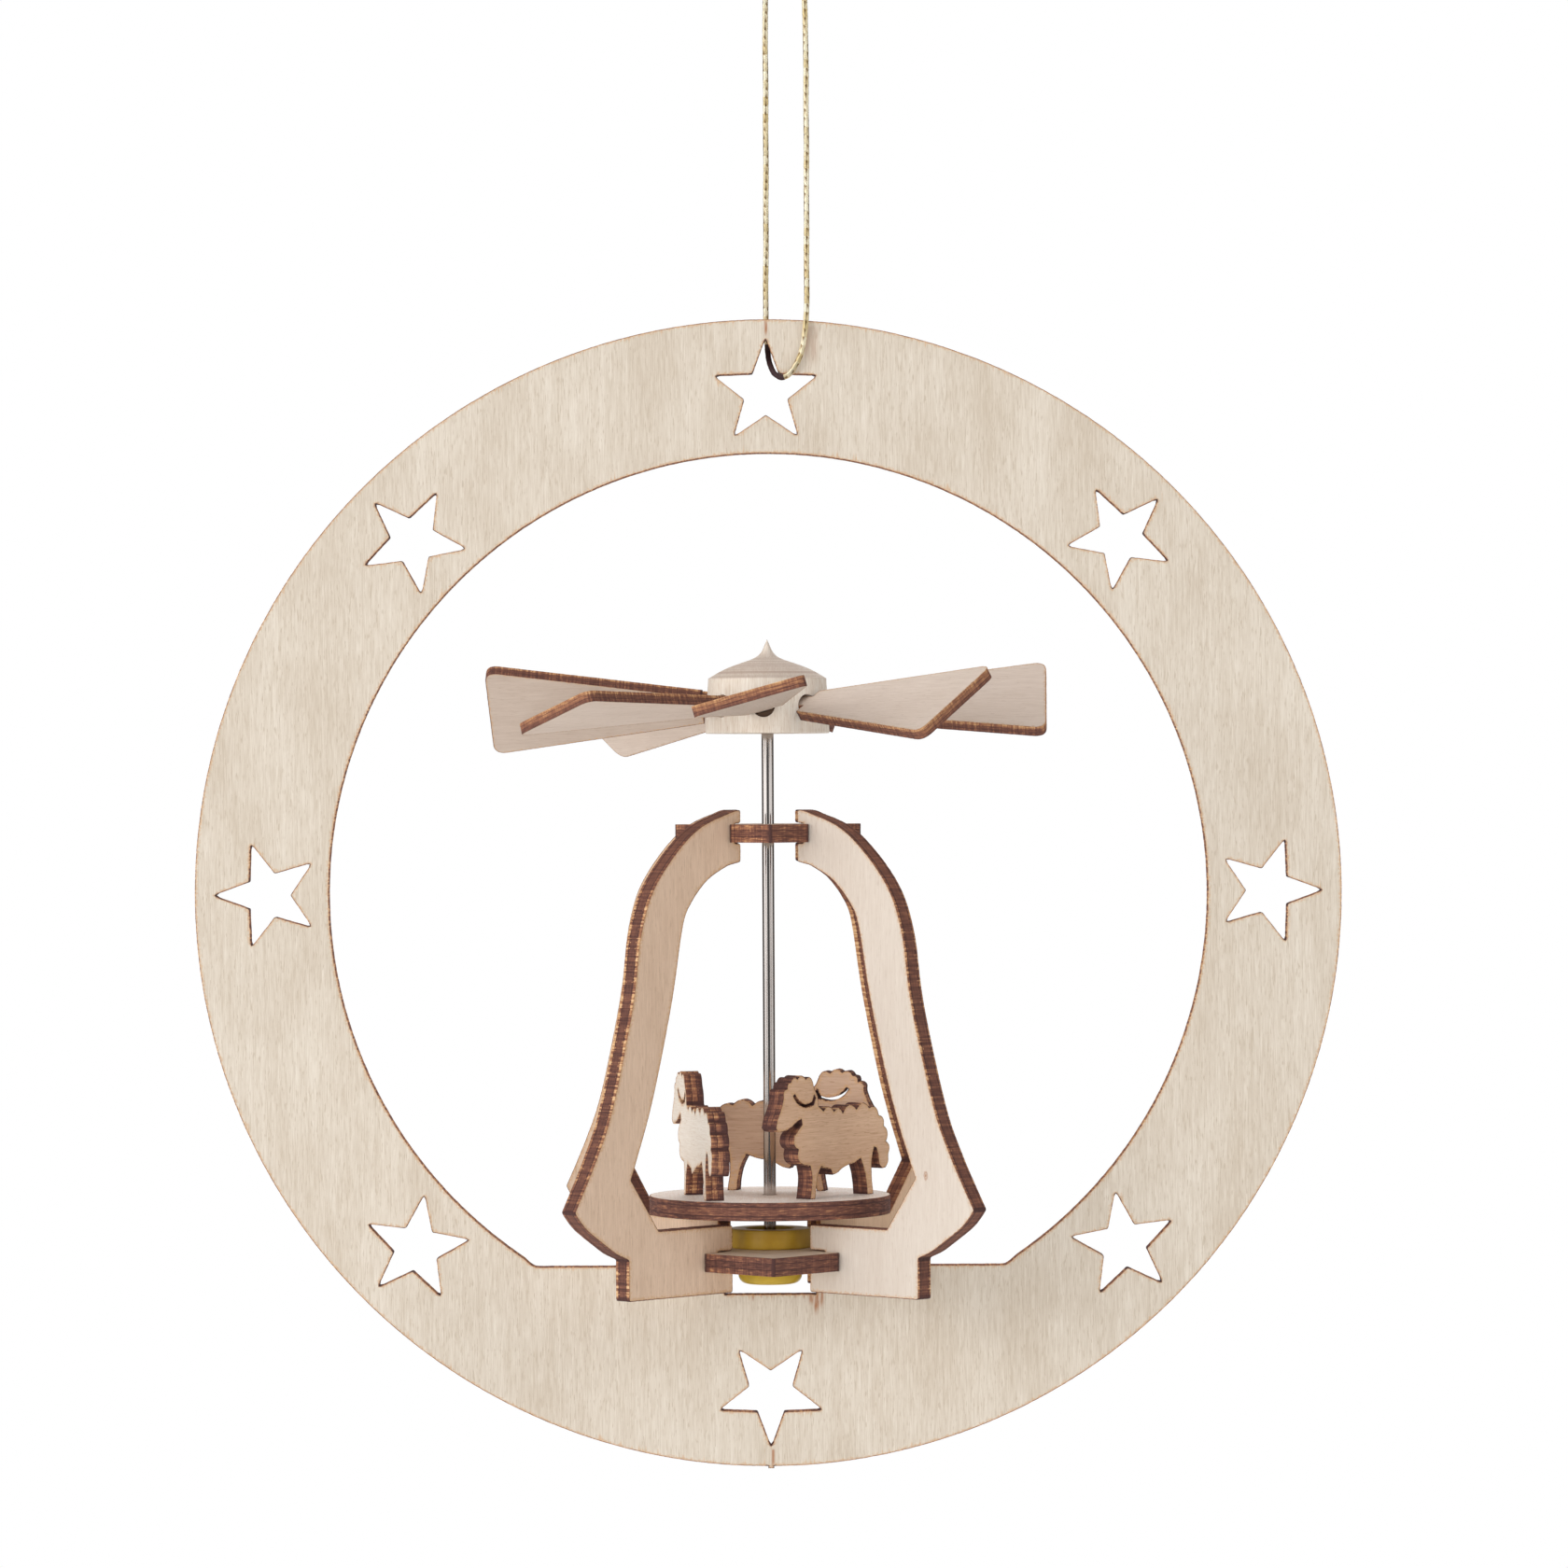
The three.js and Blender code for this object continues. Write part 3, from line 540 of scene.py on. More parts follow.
def face_points(rims, outlines):
    """Points on the sheet's face: rows beside the cut, and a plain grid in the middle."""
    found = []
    for distance in RIM_DISTANCES:
        stride = 1 if distance < CLOSE_ROWS_TO else 2
        rows = np.vstack([(outline + loop_normals(outline)[0] * distance)[::stride]
                          for outline in outlines])
        clear = distance_to(rows, outlines)[0] > ROW_TOLERANCE * distance
        found.append(rows[inside(rows, outlines) & clear])
    low, high = np.vstack(rims).min(axis=0), np.vstack(rims).max(axis=0)
    grid = np.stack(np.meshgrid(np.arange(low[0], high[0], FACE_GRID),
                                np.arange(low[1], high[1], FACE_GRID)), axis=2).reshape(-1, 2)
    grid = grid[inside(grid, outlines)]
    found.append(grid[distance_to(grid, outlines)[0] > RIM_DISTANCES[-1] + FACE_GRID / 3])
    return np.vstack(found)


def face_triangles(rims, outlines):
    """A sheet's face in triangles: their points, the numbers of the rims' points that each one
    stands for, and the corners of those triangles that lie on the sheet."""
    edges, first = [], 0
    for rim in rims:
        edges += [(first + i, first + (i + 1) % len(rim)) for i in range(len(rim))]
        first += len(rim)
    flat = [Vector(p) for p in np.vstack([*rims, face_points(rims, outlines)])]
    found = geometry.delaunay_2d_cdt(flat, edges, [], 0, MERGE_DISTANCE)
    places, _, triangles, sources, _, _ = found
    places = np.array([tuple(p) for p in places])
    on_sheet = inside(places[np.array(triangles)].mean(axis=1), rims)
    return places, sources, [triangles[i] for i in np.flatnonzero(on_sheet)]


def wall_rows(half):
    """The rows of points down a sheet's wall, each by its height and its depth inside the cut."""
    knee = EASE_KNEE * EDGE_EASE
    rows = [(half, EDGE_EASE), (half - knee, knee), (half - EDGE_EASE, 0)]
    rows += [(half * (share - PLY_SHARE), depth * GROOVE_DEPTH) for share, depth in GROOVE_PROFILE]
    return rows + [(0, 0)] + [(-height, inset) for height, inset in reversed(rows)]


def cut_sheet(name, node, grain, step, seed):
    """A laser-cut sheet piece in place of a CAD node: the cut's ridges, its layers and its eased
    edges. Its "sheet" attribute is the place in the sheet: across the grain, along it, above the
    middle. Its "cut" attribute is the distance to the cut, how far the cut there runs across the
    grain, and 1 on the cut itself. Its "dwell" attribute is 1 at the outline's corners."""
    axes = sheet_axes(node, grain)
    loops, thickness, middle_height = edge_loops(node, axes)
    loops = [finer_loop(loop, step) for loop in loops]
    chance = np.random.default_rng(seed)
    outlines = [loop + loop_normals(loop)[0] * KERF_DEPTH * chance.random((len(loop), 1))
                for loop in loops]
    half = thickness / 2
    rows = wall_rows(half)
    verts, faces, cut, rims, rim_numbers = [], [], [], [], []
    for outline in outlines:
        inward, end_grain = loop_normals(outline)
        base, count = len(verts), len(outline)
        for height, inset in rows:
            for (x, y), across in zip(outline + inward * inset, end_grain):
                verts.append((x, y, height))
                cut.append((0.0, across, 1.0))
        for row in range(len(rows) - 1):
            for i in range(count):
                a, b = base + row * count + i, base + row * count + (i + 1) % count
                faces.append((a, a + count, b + count, b))
        last_row = base + (len(rows) - 1) * count
        rim_numbers += [(base + i, last_row + i) for i in range(count)]
        rims.append(outline + inward * EDGE_EASE)
    places, sources, triangles = face_triangles(rims, outlines)
    distances, nearest = distance_to(places, outlines)
    end_grains = np.concatenate([loop_normals(outline)[1] for outline in outlines])[nearest]
    for side, height in enumerate((half, -half)):
        numbers = []
        for (x, y), origins, distance, across in zip(places, sources, distances, end_grains):
            known = [rim_numbers[s][side] for s in origins if s < len(rim_numbers)]
            numbers.append(known[0] if known else len(verts))
            if not known:
                verts.append((x, y, height))
                cut.append((min(distance, FAR_FROM_CUT), across, 0.0))
        for triangle in triangles:
            corners = [numbers[i] for i in triangle]
            faces.append(corners[::-1] if side else corners)
    back = axes.transposed()
    mesh = bpy.data.meshes.new(name)
    mesh.from_pydata([back @ Vector((x, y, z + middle_height)) for x, y, z in verts], [], faces)
    mesh.polygons.foreach_set("use_smooth", [True] * len(mesh.polygons))
    add_attribute(mesh, "sheet", "FLOAT_VECTOR", verts)
    add_attribute(mesh, "cut", "FLOAT_VECTOR", cut)
    add_attribute(mesh, "dwell", "FLOAT", dwell_at(np.array(verts)[:, :2], loops))
    mesh.validate()
    piece = add_piece(name, mesh)
    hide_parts(node)
    return piece


def new_group(name, inputs, outputs):
    """A node group for surfaces, with its named inputs and outputs. Place and Cut are a sheet's
    attributes."""
    kinds = {"Place": "Vector", "Cut": "Vector", "Spot": "Vector",
             "Colour": "Color", "Pale": "Color", "Dark": "Color"}
    tree = bpy.data.node_groups.new(name, "ShaderNodeTree")
    for way, names in (("INPUT", inputs), ("OUTPUT", outputs)):
        for socket in names:
            kind = "NodeSocket" + kinds.get(socket, "Float")
            tree.interface.new_socket(socket, in_out=way, socket_type=kind)
    return tree, tree.nodes.new("NodeGroupInput").outputs, tree.nodes.new("NodeGroupOutput").inputs


def use_group(tree, name, **inputs):
    """A group placed in a material; each input is a value or another node's socket."""
    node = tree.nodes.new("ShaderNodeGroup")
    node.node_tree = bpy.data.node_groups[name]
    for key, value in inputs.items():
        socket = node.inputs[key.replace("_", " ")]
        if isinstance(value, bpy.types.NodeSocket):
            tree.links.new(value, socket)
        else:
            socket.default_value = value
    return node.outputs


def add_values(tree, total, *others):
    for value in others:
        total = math_node(tree, "ADD", total, value)
    return total


def multiply(tree, product, *others):
    for value in others:
        product = math_node(tree, "MULTIPLY", product, value)
    return product


def about_zero(tree, value, amount):
    """Noise from 0 to 1, moved to lie about zero and made as strong as the amount."""
    return multiply(tree, math_node(tree, "SUBTRACT", value, 0.5), amount)


# Face grain: fine fibres, wider streaks, slow clouds and short dark flecks, all drawn out along Y
FIBRE_SIZE, STREAK_SIZE = (0.00019, 0.0042, 0.0008), (0.0007, 0.03, 0.01)
CLOUD_SIZE, FLECK_SIZE = (0.009, 0.022, 0.03), (0.00017, 0.0017, 0.001)

tree, given, result = new_group(
    "face_grain", ("Place", "Pale", "Dark", "Contrast"), ("Colour", "Height"))
fibres = noise(tree, given["Place"], FIBRE_SIZE, detail=4.0, roughness=0.66)
streaks = noise(tree, given["Place"], STREAK_SIZE, detail=3.0, roughness=0.6)
clouds = noise(tree, given["Place"], CLOUD_SIZE)
flecks = ramp(tree, noise(tree, given["Place"], FLECK_SIZE, detail=1.0), 0.6, 0.74)
darker = add_values(tree, about_zero(tree, fibres, 1.7), about_zero(tree, streaks, 0.7),
                    about_zero(tree, clouds, 0.8), multiply(tree, flecks, 0.55))
share = math_node(tree, "ADD", 0.5, multiply(tree, darker, given["Contrast"]))
tree.links.new(blend_colours(tree, share, given["Pale"], given["Dark"]), result["Colour"])
height = math_node(tree, "SUBTRACT", fibres, multiply(tree, flecks, 0.6))
tree.links.new(height, result["Height"])

# Laser cut: the charred layers on the cut, and the scorched fringe that it leaves on the face.
# Core is the half thickness of the middle layer. The four levels say how black the outer layers
# and the core are where the cut runs along or across the grain of the face. Ridge is the strength
# of the ridges through the sheet, Mottle that of the streaks along its layers, a painted side light
# makes the cut paler towards one face and darker towards the other, Fringe is the scorch's width,
# Line the strength of the dark line round the face, and Smoke draws the scorch out along the grain.
# Where the laser dwelt, at corners, all is blacker.
CHAR_STEPS = [(0.0, (224, 186, 142)), (0.2, (194, 144, 100)), (0.4, (154, 104, 78)),
              (0.6, (122, 80, 66)), (1.0, (80, 52, 48))]
SCORCH_COLOUR, LINE_COLOUR = (208, 164, 116), (128, 84, 68)
RIDGE_SIZE, BAND_SIZE = (0.00025, 0.00025, 0.006), (0.00045, 0.00045, 0.006)
LAYER_SIZE, TOOTH_SIZE = (0.0018, 0.0018, 0.00022), (0.0004, 0.0004, 0.004)
COMB_SIZE, SMOKE_SIZE = (0.0003, 0.0003, 0.01), (0.0004, 0.02, 0.01)
TOOTH_REACH, LAYER_REACH, COMB_REACH = 0.0018, 0.0004, 0.0005
ACROSS_GRAIN = (0.25, 0.8)
DWELL_CHAR = 1.1

tree, given, result = new_group(
    "laser_cut",
    ("Place", "Cut", "Dwell", "Colour", "Height", "Core", "Outer Along", "Outer Across",
     "Core Along", "Core Across", "Ridge", "Mottle", "Lean", "Fringe", "Line", "Smoke"),
    ("Colour", "Height", "Char"))
away, end_grain, on_wall = split(tree, given["Cut"])
through = split(tree, given["Place"])[2]
depth = math_node(tree, "ABSOLUTE", through)
ridges = noise(tree, given["Place"], RIDGE_SIZE, roughness=0.6)
bands = noise(tree, given["Place"], BAND_SIZE, detail=1.0, roughness=0.6)
layers = noise(tree, given["Place"], LAYER_SIZE, detail=4.0, roughness=0.6)
teeth = noise(tree, given["Place"], TOOTH_SIZE, detail=3.0, roughness=0.6)
comb = noise(tree, given["Place"], COMB_SIZE, detail=3.0, roughness=0.65)
dwelt = multiply(tree, given["Dwell"], DWELL_CHAR)

wander = add_values(tree, about_zero(tree, teeth, TOOTH_REACH),
                    about_zero(tree, layers, LAYER_REACH))
outer = math_node(tree, "DIVIDE", math_node(tree, "ADD", depth, wander), given["Core"])
outer = ramp(tree, outer, 0.88, 1.12)
outer_char = ramp(tree, end_grain, *ACROSS_GRAIN, given["Outer Along"], given["Outer Across"])
core_char = ramp(tree, end_grain, *ACROSS_GRAIN, given["Core Along"], given["Core Across"])
char = ramp(tree, outer, 0.0, 1.0, core_char, outer_char, smooth=False)
from_glue = math_node(tree, "SUBTRACT", math_node(tree, "DIVIDE", depth, given["Core"]), 1.0)
glue = ramp(tree, math_node(tree, "ABSOLUTE", from_glue), 0.05, 0.2, 0.42, 0.0)
broad = about_zero(tree, ramp(tree, bands, 0.36, 0.64), 0.55)
ridged = multiply(tree, add_values(tree, about_zero(tree, ridges, 1.3), broad), given["Ridge"],
                  ramp(tree, outer, 0.0, 1.0, 0.6, 1.0),
                  ramp(tree, end_grain, *ACROSS_GRAIN, 1.0, 0.55))
mottled = about_zero(tree, layers, given["Mottle"])
# Painted light and shade: the cut is paler towards one face and darker towards the other.
painted_side_light = multiply(tree, through, given["Lean"])
blackness = add_values(tree, char, ridged, mottled, painted_side_light, glue, dwelt)
steps = add_node(tree, "ValToRGB", {0: blackness})
for i, (at, colour) in enumerate(CHAR_STEPS):
    element = steps.color_ramp.elements[i] if i < 2 else steps.color_ramp.elements.new(at)
    element.position = at
    element.color = from_srgb(*colour)

smoke = ramp(tree, noise(tree, given["Place"], SMOKE_SIZE), 0.6, 0.75)
smoke = multiply(tree, smoke, end_grain, given["Smoke"])
reach = add_values(tree, ramp(tree, bands, 0.35, 0.7, 0.7, 1.7), smoke, dwelt)
ragged = add_values(tree, away, about_zero(tree, comb, COMB_REACH))
scorch = math_node(tree, "DIVIDE", ragged, multiply(tree, given["Fringe"], reach))
scorch = multiply(tree, ramp(tree, scorch, 0.3, 1.3, 1.0, 0.0), 0.62)
line = ramp(tree, math_node(tree, "DIVIDE", ragged, given["Fringe"]), 0.05, 0.4, 1.0, 0.0)
line = multiply(tree, line, given["Line"])
face = blend_colours(tree, scorch, given["Colour"], SCORCH_COLOUR)
face = blend_colours(tree, line, face, LINE_COLOUR)
tree.links.new(blend_colours(tree, on_wall, face, steps.outputs[0]), result["Colour"])
tree.links.new(math_node(tree, "MAXIMUM", on_wall, line), result["Char"])
wall_height = multiply(tree, add_values(tree, ridges, bands), given["Ridge"])
wall_height = add_values(tree, wall_height, multiply(tree, layers, 0.5))
height = ramp(tree, on_wall, 0.0, 1.0, given["Height"], wall_height, smooth=False)
tree.links.new(height, result["Height"])

# Scorch streak: a thin burnt line along the grain, between two heights of the sheet
STREAK_COLOUR = (168, 106, 62)
STREAK_WANDER, WANDER_SIZE, STREAK_GRAIN = 0.0004, (1.0, 0.004, 1.0), (0.0002, 0.003, 1.0)

tree, given, result = new_group(
    "scorch_streak", ("Place", "Colour", "Across", "Low", "High", "Width", "Amount"), ("Colour",))
across, along, _ = split(tree, given["Place"])
wander = about_zero(tree, noise(tree, given["Place"], WANDER_SIZE), STREAK_WANDER)
off = math_node(tree, "SUBTRACT", add_values(tree, across, wander), given["Across"])
off = math_node(tree, "DIVIDE", math_node(tree, "ABSOLUTE", off), given["Width"])
beside = ramp(tree, off, 0.2, 1.0, 1.0, 0.0)
span = math_node(tree, "SUBTRACT", given["High"], given["Low"])
at = math_node(tree, "DIVIDE", math_node(tree, "SUBTRACT", along, given["Low"]), span)
ends = multiply(tree, ramp(tree, at, 0.0, 0.5), ramp(tree, at, 0.9, 1.0, 1.0, 0.0))
grainy = ramp(tree, noise(tree, given["Place"], STREAK_GRAIN), 0.3, 0.6, 0.35, 1.0)
share = multiply(tree, beside, ends, grainy, given["Amount"])
tree.links.new(blend_colours(tree, share, given["Colour"], STREAK_COLOUR), result["Colour"])

# Pin knot: a small oval eye in the veneer with a darker rim
PIN_KNOT_COLOUR = (160, 106, 66)
PIN_KNOT_SHAPE = (1.0, 0.6, 0.0)
PIN_KNOT_NOISE, PIN_KNOT_WANDER = 0.0005, 0.0003

tree, given, result = new_group("pin_knot", ("Place", "Colour", "Spot", "Width"), ("Colour",))
offset = add_node(tree, "VectorMath", {0: given["Place"], 1: given["Spot"]}, operation="SUBTRACT")
oval = add_node(tree, "VectorMath", {0: offset.outputs[0], 1: PIN_KNOT_SHAPE}, operation="MULTIPLY")
off = add_node(tree, "VectorMath", {0: oval.outputs[0]}, operation="LENGTH").outputs["Value"]
wander = about_zero(tree, noise(tree, given["Place"], PIN_KNOT_NOISE), PIN_KNOT_WANDER)
off = math_node(tree, "DIVIDE", add_values(tree, off, wander), given["Width"])
eye = ramp(tree, off, 0.1, 0.5, 0.9, 0.0)
rim = math_node(tree, "ABSOLUTE", math_node(tree, "SUBTRACT", off, 0.6))
rim = ramp(tree, rim, 0.1, 0.35, 0.5, 0.0)
share = math_node(tree, "MAXIMUM", eye, rim)
tree.links.new(blend_colours(tree, share, given["Colour"], PIN_KNOT_COLOUR), result["Colour"])


def plywood(name, pale, dark, levels, contrast, fringe, core=0.00052, ridge=0.5, mottle=0.6,
            lean=0.0, line=0.9, smoke=0.0, streaks=(), knots=()):
    """The finish of a laser-cut sheet: sanded face veneer, and charred layers on the cut. Levels
    are those of the cut's outer layers along and across the grain, and of its core the same."""
    material, tree, shader = new_material(name)
    place = surface_value(tree, "sheet")
    grain = use_group(tree, "face_grain", Place=place, Pale=from_srgb(*pale), Dark=from_srgb(*dark),
                      Contrast=contrast)
    colour = grain["Colour"]
    for across, low, high, width, amount in streaks:
        colour = use_group(tree, "scorch_streak", Place=place, Colour=colour, Across=across,
                           Low=low, High=high, Width=width, Amount=amount)["Colour"]
    for spot, width in knots:
        colour = use_group(tree, "pin_knot", Place=place, Colour=colour, Spot=spot,
                           Width=width)["Colour"]
    burnt = use_group(tree, "laser_cut", Place=place, Cut=surface_value(tree, "cut"),
                      Dwell=surface_value(tree, "dwell", "Fac"), Colour=colour,
                      Height=grain["Height"], Core=core, Outer_Along=levels[0],
                      Outer_Across=levels[1], Core_Along=levels[2], Core_Across=levels[3],
                      Ridge=ridge, Mottle=mottle, Lean=lean, Fringe=fringe, Line=line,
                      Smoke=smoke)
    tree.links.new(burnt["Colour"], shader.inputs["Base Color"])
    tree.links.new(ramp(tree, burnt["Char"], 0.0, 1.0, 0.62, 0.85), shader.inputs["Roughness"])
    set_bump(tree, shader, burnt["Height"], 0.4, 0.00007)
    return material


ring = cut_sheet("star_ring", "ring", RING_GRAIN, RING_STEP, RING_SEED)
ring.data.materials.append(
    plywood("ring_plywood", *RING_WOOD, contrast=1.25, fringe=0.00034, ridge=1.0, line=0.5,
            smoke=3.0, streaks=RING_STREAKS))
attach(ring, "frame")

# Plates
# Two square plywood plates, the upper small and the lower larger. The ribs' slots lap into theirs,
# the shaft runs through the upper one and the bearing cup hangs in the lower.
PLATE_STEP = 0.0003
PLATE_HEADING = math.radians(-43.6)
PLATE_GRAIN = (math.cos(PLATE_HEADING), math.sin(PLATE_HEADING), 0)
PLATE_PALE, PLATE_DARK = (222, 208, 192), (188, 168, 150)
PLATES = [("top_plate", "upper_plate", 21, (0.5, 0.56, 0.7, 0.6)),
          ("foot_plate", "lower_plate", 22, (0.66, 0.74, 0.84, 0.72))]

for name, node, seed, levels in PLATES:
    plate = cut_sheet(name, node, PLATE_GRAIN, PLATE_STEP, seed)
    plate.data.materials.append(
        plywood(name + "_plywood", PLATE_PALE, PLATE_DARK, levels, contrast=1.1, fringe=0.00045,
                ridge=0.4, mottle=1.7, smoke=2.0))
    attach(plate, "frame")

# Ribs
# Four plywood ribs form the bell. Each is slotted into both plates and its foot stands beside the
# ring; the laser has left a comb of small burnt steps along their steep edges.
RIB_STEP = 0.00036
RIB_GRAIN = (0, 0, 1)
RIB_SEED = 31
RIB_KNOT, RIB_KNOT_WIDTH = (0.03398, -0.2024, 0.0015), 0.00055
TAN_RIB = ((237, 210, 186), (208, 178, 152), (0.28, 0.64, 0.78, 0.66))
PALE_RIB = ((224, 213, 201), (206, 191, 177), (0.34, 0.62, 0.68, 0.6))
FAR_RIB = ((237, 206, 177), (214, 181, 151), (0.16, 0.6, 0.66, 0.6))

tan_rib_wood = plywood("tan_rib_plywood", *TAN_RIB, contrast=0.95, fringe=0.0005, core=0.00085,
                       ridge=0.9, mottle=0.6, smoke=1.0)
pale_rib_wood = plywood("pale_rib_plywood", *PALE_RIB, contrast=0.9, fringe=0.00036, core=0.001,
                        ridge=0.8, mottle=0.5, smoke=1.0, knots=[(RIB_KNOT, RIB_KNOT_WIDTH)])
far_rib_wood = plywood("far_rib_plywood", *FAR_RIB, contrast=0.9, fringe=0.00036, ridge=0.6,
                       mottle=0.5, smoke=1.0)
RIBS = [("bell_front_left", "rib_front_left", tan_rib_wood),
        ("bell_front_right", "rib_front_right", pale_rib_wood),
        ("bell_back_left", "rib_back_left", tan_rib_wood),
        ("bell_back_right", "rib_back_right", far_rib_wood)]
for i, (name, node, wood) in enumerate(RIBS):
    rib = cut_sheet(name, node, RIB_GRAIN, RIB_STEP, RIB_SEED + i)
    rib.data.materials.append(wood)
    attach(rib, "frame")

# Turntable
# A round plywood disc pressed on the shaft. It carries the sheep, and its grain runs from front to
# back.
TURNTABLE_STEP = 0.0003
TURNTABLE_GRAIN = (0, 1, 0)
TURNTABLE_SEED = 41
# The pale wood is painted paler still, nearly white, as painted light and sheen on the disc's top.
TURNTABLE_WOOD_AND_TOP_LIGHT = ((255, 249, 243), (238, 222, 210), (0.68, 0.74, 0.8, 0.66))

turntable = cut_sheet("carrier_disc", "turntable", TURNTABLE_GRAIN, TURNTABLE_STEP, TURNTABLE_SEED)
turntable.data.materials.append(
    plywood("turntable_plywood", *TURNTABLE_WOOD_AND_TOP_LIGHT, contrast=1.2, fringe=0.0003, core=0.00078,
            ridge=0.25, mottle=1.9))
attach(turntable, "rotor")

# Sheep
# Three plywood sheep glued upright on the disc. Their grain lies level, so their steep edges are
# burnt dark with the core's paler end showing between.
SHEEP_STEP = 0.00024
SHEEP_SEED = 50
SHEEP_WOODS = {1: ((230, 195, 164), (198, 157, 125), (0.72, 0.86, 0.84, 0.62)),
               2: ((246, 238, 227), (227, 212, 196), (0.58, 0.78, 0.72, 0.4)),
               3: ((214, 184, 159), (184, 148, 123), (0.64, 0.84, 0.78, 0.46))}

for i, wood in SHEEP_WOODS.items():
    flank = max(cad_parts[f"sheep_{i}"].data.polygons, key=lambda face: face.area).normal
    level_grain = (-flank.y, flank.x, 0)
    sheep = cut_sheet(f"sheep_figure_{i}", f"sheep_{i}", level_grain, SHEEP_STEP, SHEEP_SEED + i)
    # The negative lean paints each cut paler towards the front face, as painted light on its lit
    # side.
    sheep.data.materials.append(
        plywood(f"sheep_plywood_{i}", *wood, contrast=1.1, fringe=0.0005, core=0.0005, ridge=1.5,
                mottle=0.9, lean=-170.0))
    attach(sheep, "rotor")

# Blades
# Eight thin plywood blades, two of them a little browner. Each has a tang that is pushed into its
# hole in the hub and is turned there by hand to the pitch that catches the warm air.
BLADE_COUNT = 8
BLADE_STEP = 0.00035
BLADE_SEED = 60
BLADE_LEVELS = (0.5, 0.48, 0.68, 0.42)
BLADE_TONES = {"pale": ((237, 221, 208), (211, 191, 175)),
               "tan": ((213, 197, 184), (188, 168, 152))}
TAN_BLADES = (5, 7)

# The negative lean paints each cut paler towards the upper face, as painted light on its lit side.
blade_woods = {tone: plywood(f"{tone}_blade_plywood", pale, dark, BLADE_LEVELS, contrast=0.8,
                             fringe=0.0003, core=0.0003, ridge=0.5, mottle=0.9, lean=-260.0)
               for tone, (pale, dark) in BLADE_TONES.items()}
shaft_low, shaft_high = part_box("shaft")
axis_place = (shaft_low + shaft_high) / 2
for i in range(1, BLADE_COUNT + 1):
    blade_low, blade_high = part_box(f"blade_{i}")
    outward = (blade_low + blade_high) / 2 - axis_place
    outward.z = 0
    blade = cut_sheet(f"vane_{i}", f"blade_{i}", outward, BLADE_STEP, BLADE_SEED + i)
    blade.data.materials.append(blade_woods["tan" if i in TAN_BLADES else "pale"])
    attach(blade, f"blade_{i}")

# Hub
# A small turned wooden head with a pointed crown. Eight holes for the blades are drilled round its
# wall and it is pressed on the top of the shaft.
HUB_SIDES = 160
HUB_BASE_RADIUS = 0.0103
HUB_SHOULDER_RADIUS = 0.0098
HUB_WALL = 0.0091
HUB_WALL_STEPS = 12
HUB_CROWN = [(0.0098, 0.0), (0.00892, 0.00055), (0.00706, 0.00156), (0.00451, 0.00254),
             (0.00255, 0.00322), (0.00152, 0.0038), (0.00088, 0.00455), (0.00044, 0.00552),
             (0.0, 0.0065)]
HUB_BORE_RADIUS, HUB_BORE_DEPTH = 0.00103, 0.009
HUB_HOLE_RADIUS, HUB_HOLE_HEIGHT, HUB_HOLE_FLOOR = 0.0019, 0.0045, 0.006
HUB_EASE = 0.00025
HUB_SHARP_EDGE = math.radians(35)
DRILL_LENGTH, DRILL_SIDES = 0.008, 40
FIRST_BLADE_AZIMUTH = -3.5
LATHE_STEP = 0.00025
AXIS_RADIUS = 1e-7
HUB_PALE, HUB_DARK = (248, 241, 230), (220, 204, 186)
TOOL_RING_COLOUR, DRILLED_COLOUR = (190, 163, 146), (150, 108, 78)
TOOL_RINGS_ACROSS, TOOL_RINGS_UP = 2600.0, 2100.0
CROWN_EDGE, FINIAL_EDGE = (0.0088, 0.0094), (0.0122, 0.0138)
DRILLED_RADIUS, DRILLED_LOW, DRILLED_HIGH = (0.0086, 0.0092), (0.0001, 0.0004), (0.0082, 0.0088)


def eased(corners, ease, steps=4):
    """An outline with its corners rounded, each by its own ease; steps is the fineness."""
    points = []
    for i, (corner, amount) in enumerate(zip(corners, ease)):
        if not amount:
            points.append(corner)
            continue
        here = Vector(corner)
        before = here + (Vector(corners[i - 1]) - here).normalized() * amount
        after = here + (Vector(corners[i + 1]) - here).normalized() * amount
        for t in (k / steps for k in range(steps + 1)):
            points.append(tuple(before * (1 - t) ** 2 + here * 2 * t * (1 - t) + after * t ** 2))
    return points


def turned_mesh(name, profile, centre, sides):
    """A turned solid: the profile's radii and heights run from its axis below to its axis above."""
    verts, rings = [], []
    for radius, height in profile:
        if radius < AXIS_RADIUS:
            rings.append([len(verts)] * sides)
            verts.append((centre.x, centre.y, height))
            continue
        rings.append(list(range(len(verts), len(verts) + sides)))
        for i in range(sides):
            angle = 2 * math.pi * i / sides
            verts.append((centre.x + radius * math.cos(angle), centre.y + radius * math.sin(angle),
                          height))
    faces = []
    for below, above in zip(rings, rings[1:]):
        for i in range(sides):
            j = (i + 1) % sides
            corners = list(dict.fromkeys((below[i], below[j], above[j], above[i])))
            if len(corners) > 2:
                faces.append(corners)
    mesh = bpy.data.meshes.new(name)
    mesh.from_pydata(verts, [], faces)
    mesh.polygons.foreach_set("use_smooth", [True] * len(faces))
    return mesh


def keep_places(piece, name, origin):
    """Keeps the place of each of a piece's points from an origin, for its material."""
    places = [tuple(v.co - origin) for v in piece.data.vertices]
    add_attribute(piece.data, name, "FLOAT_VECTOR", places)


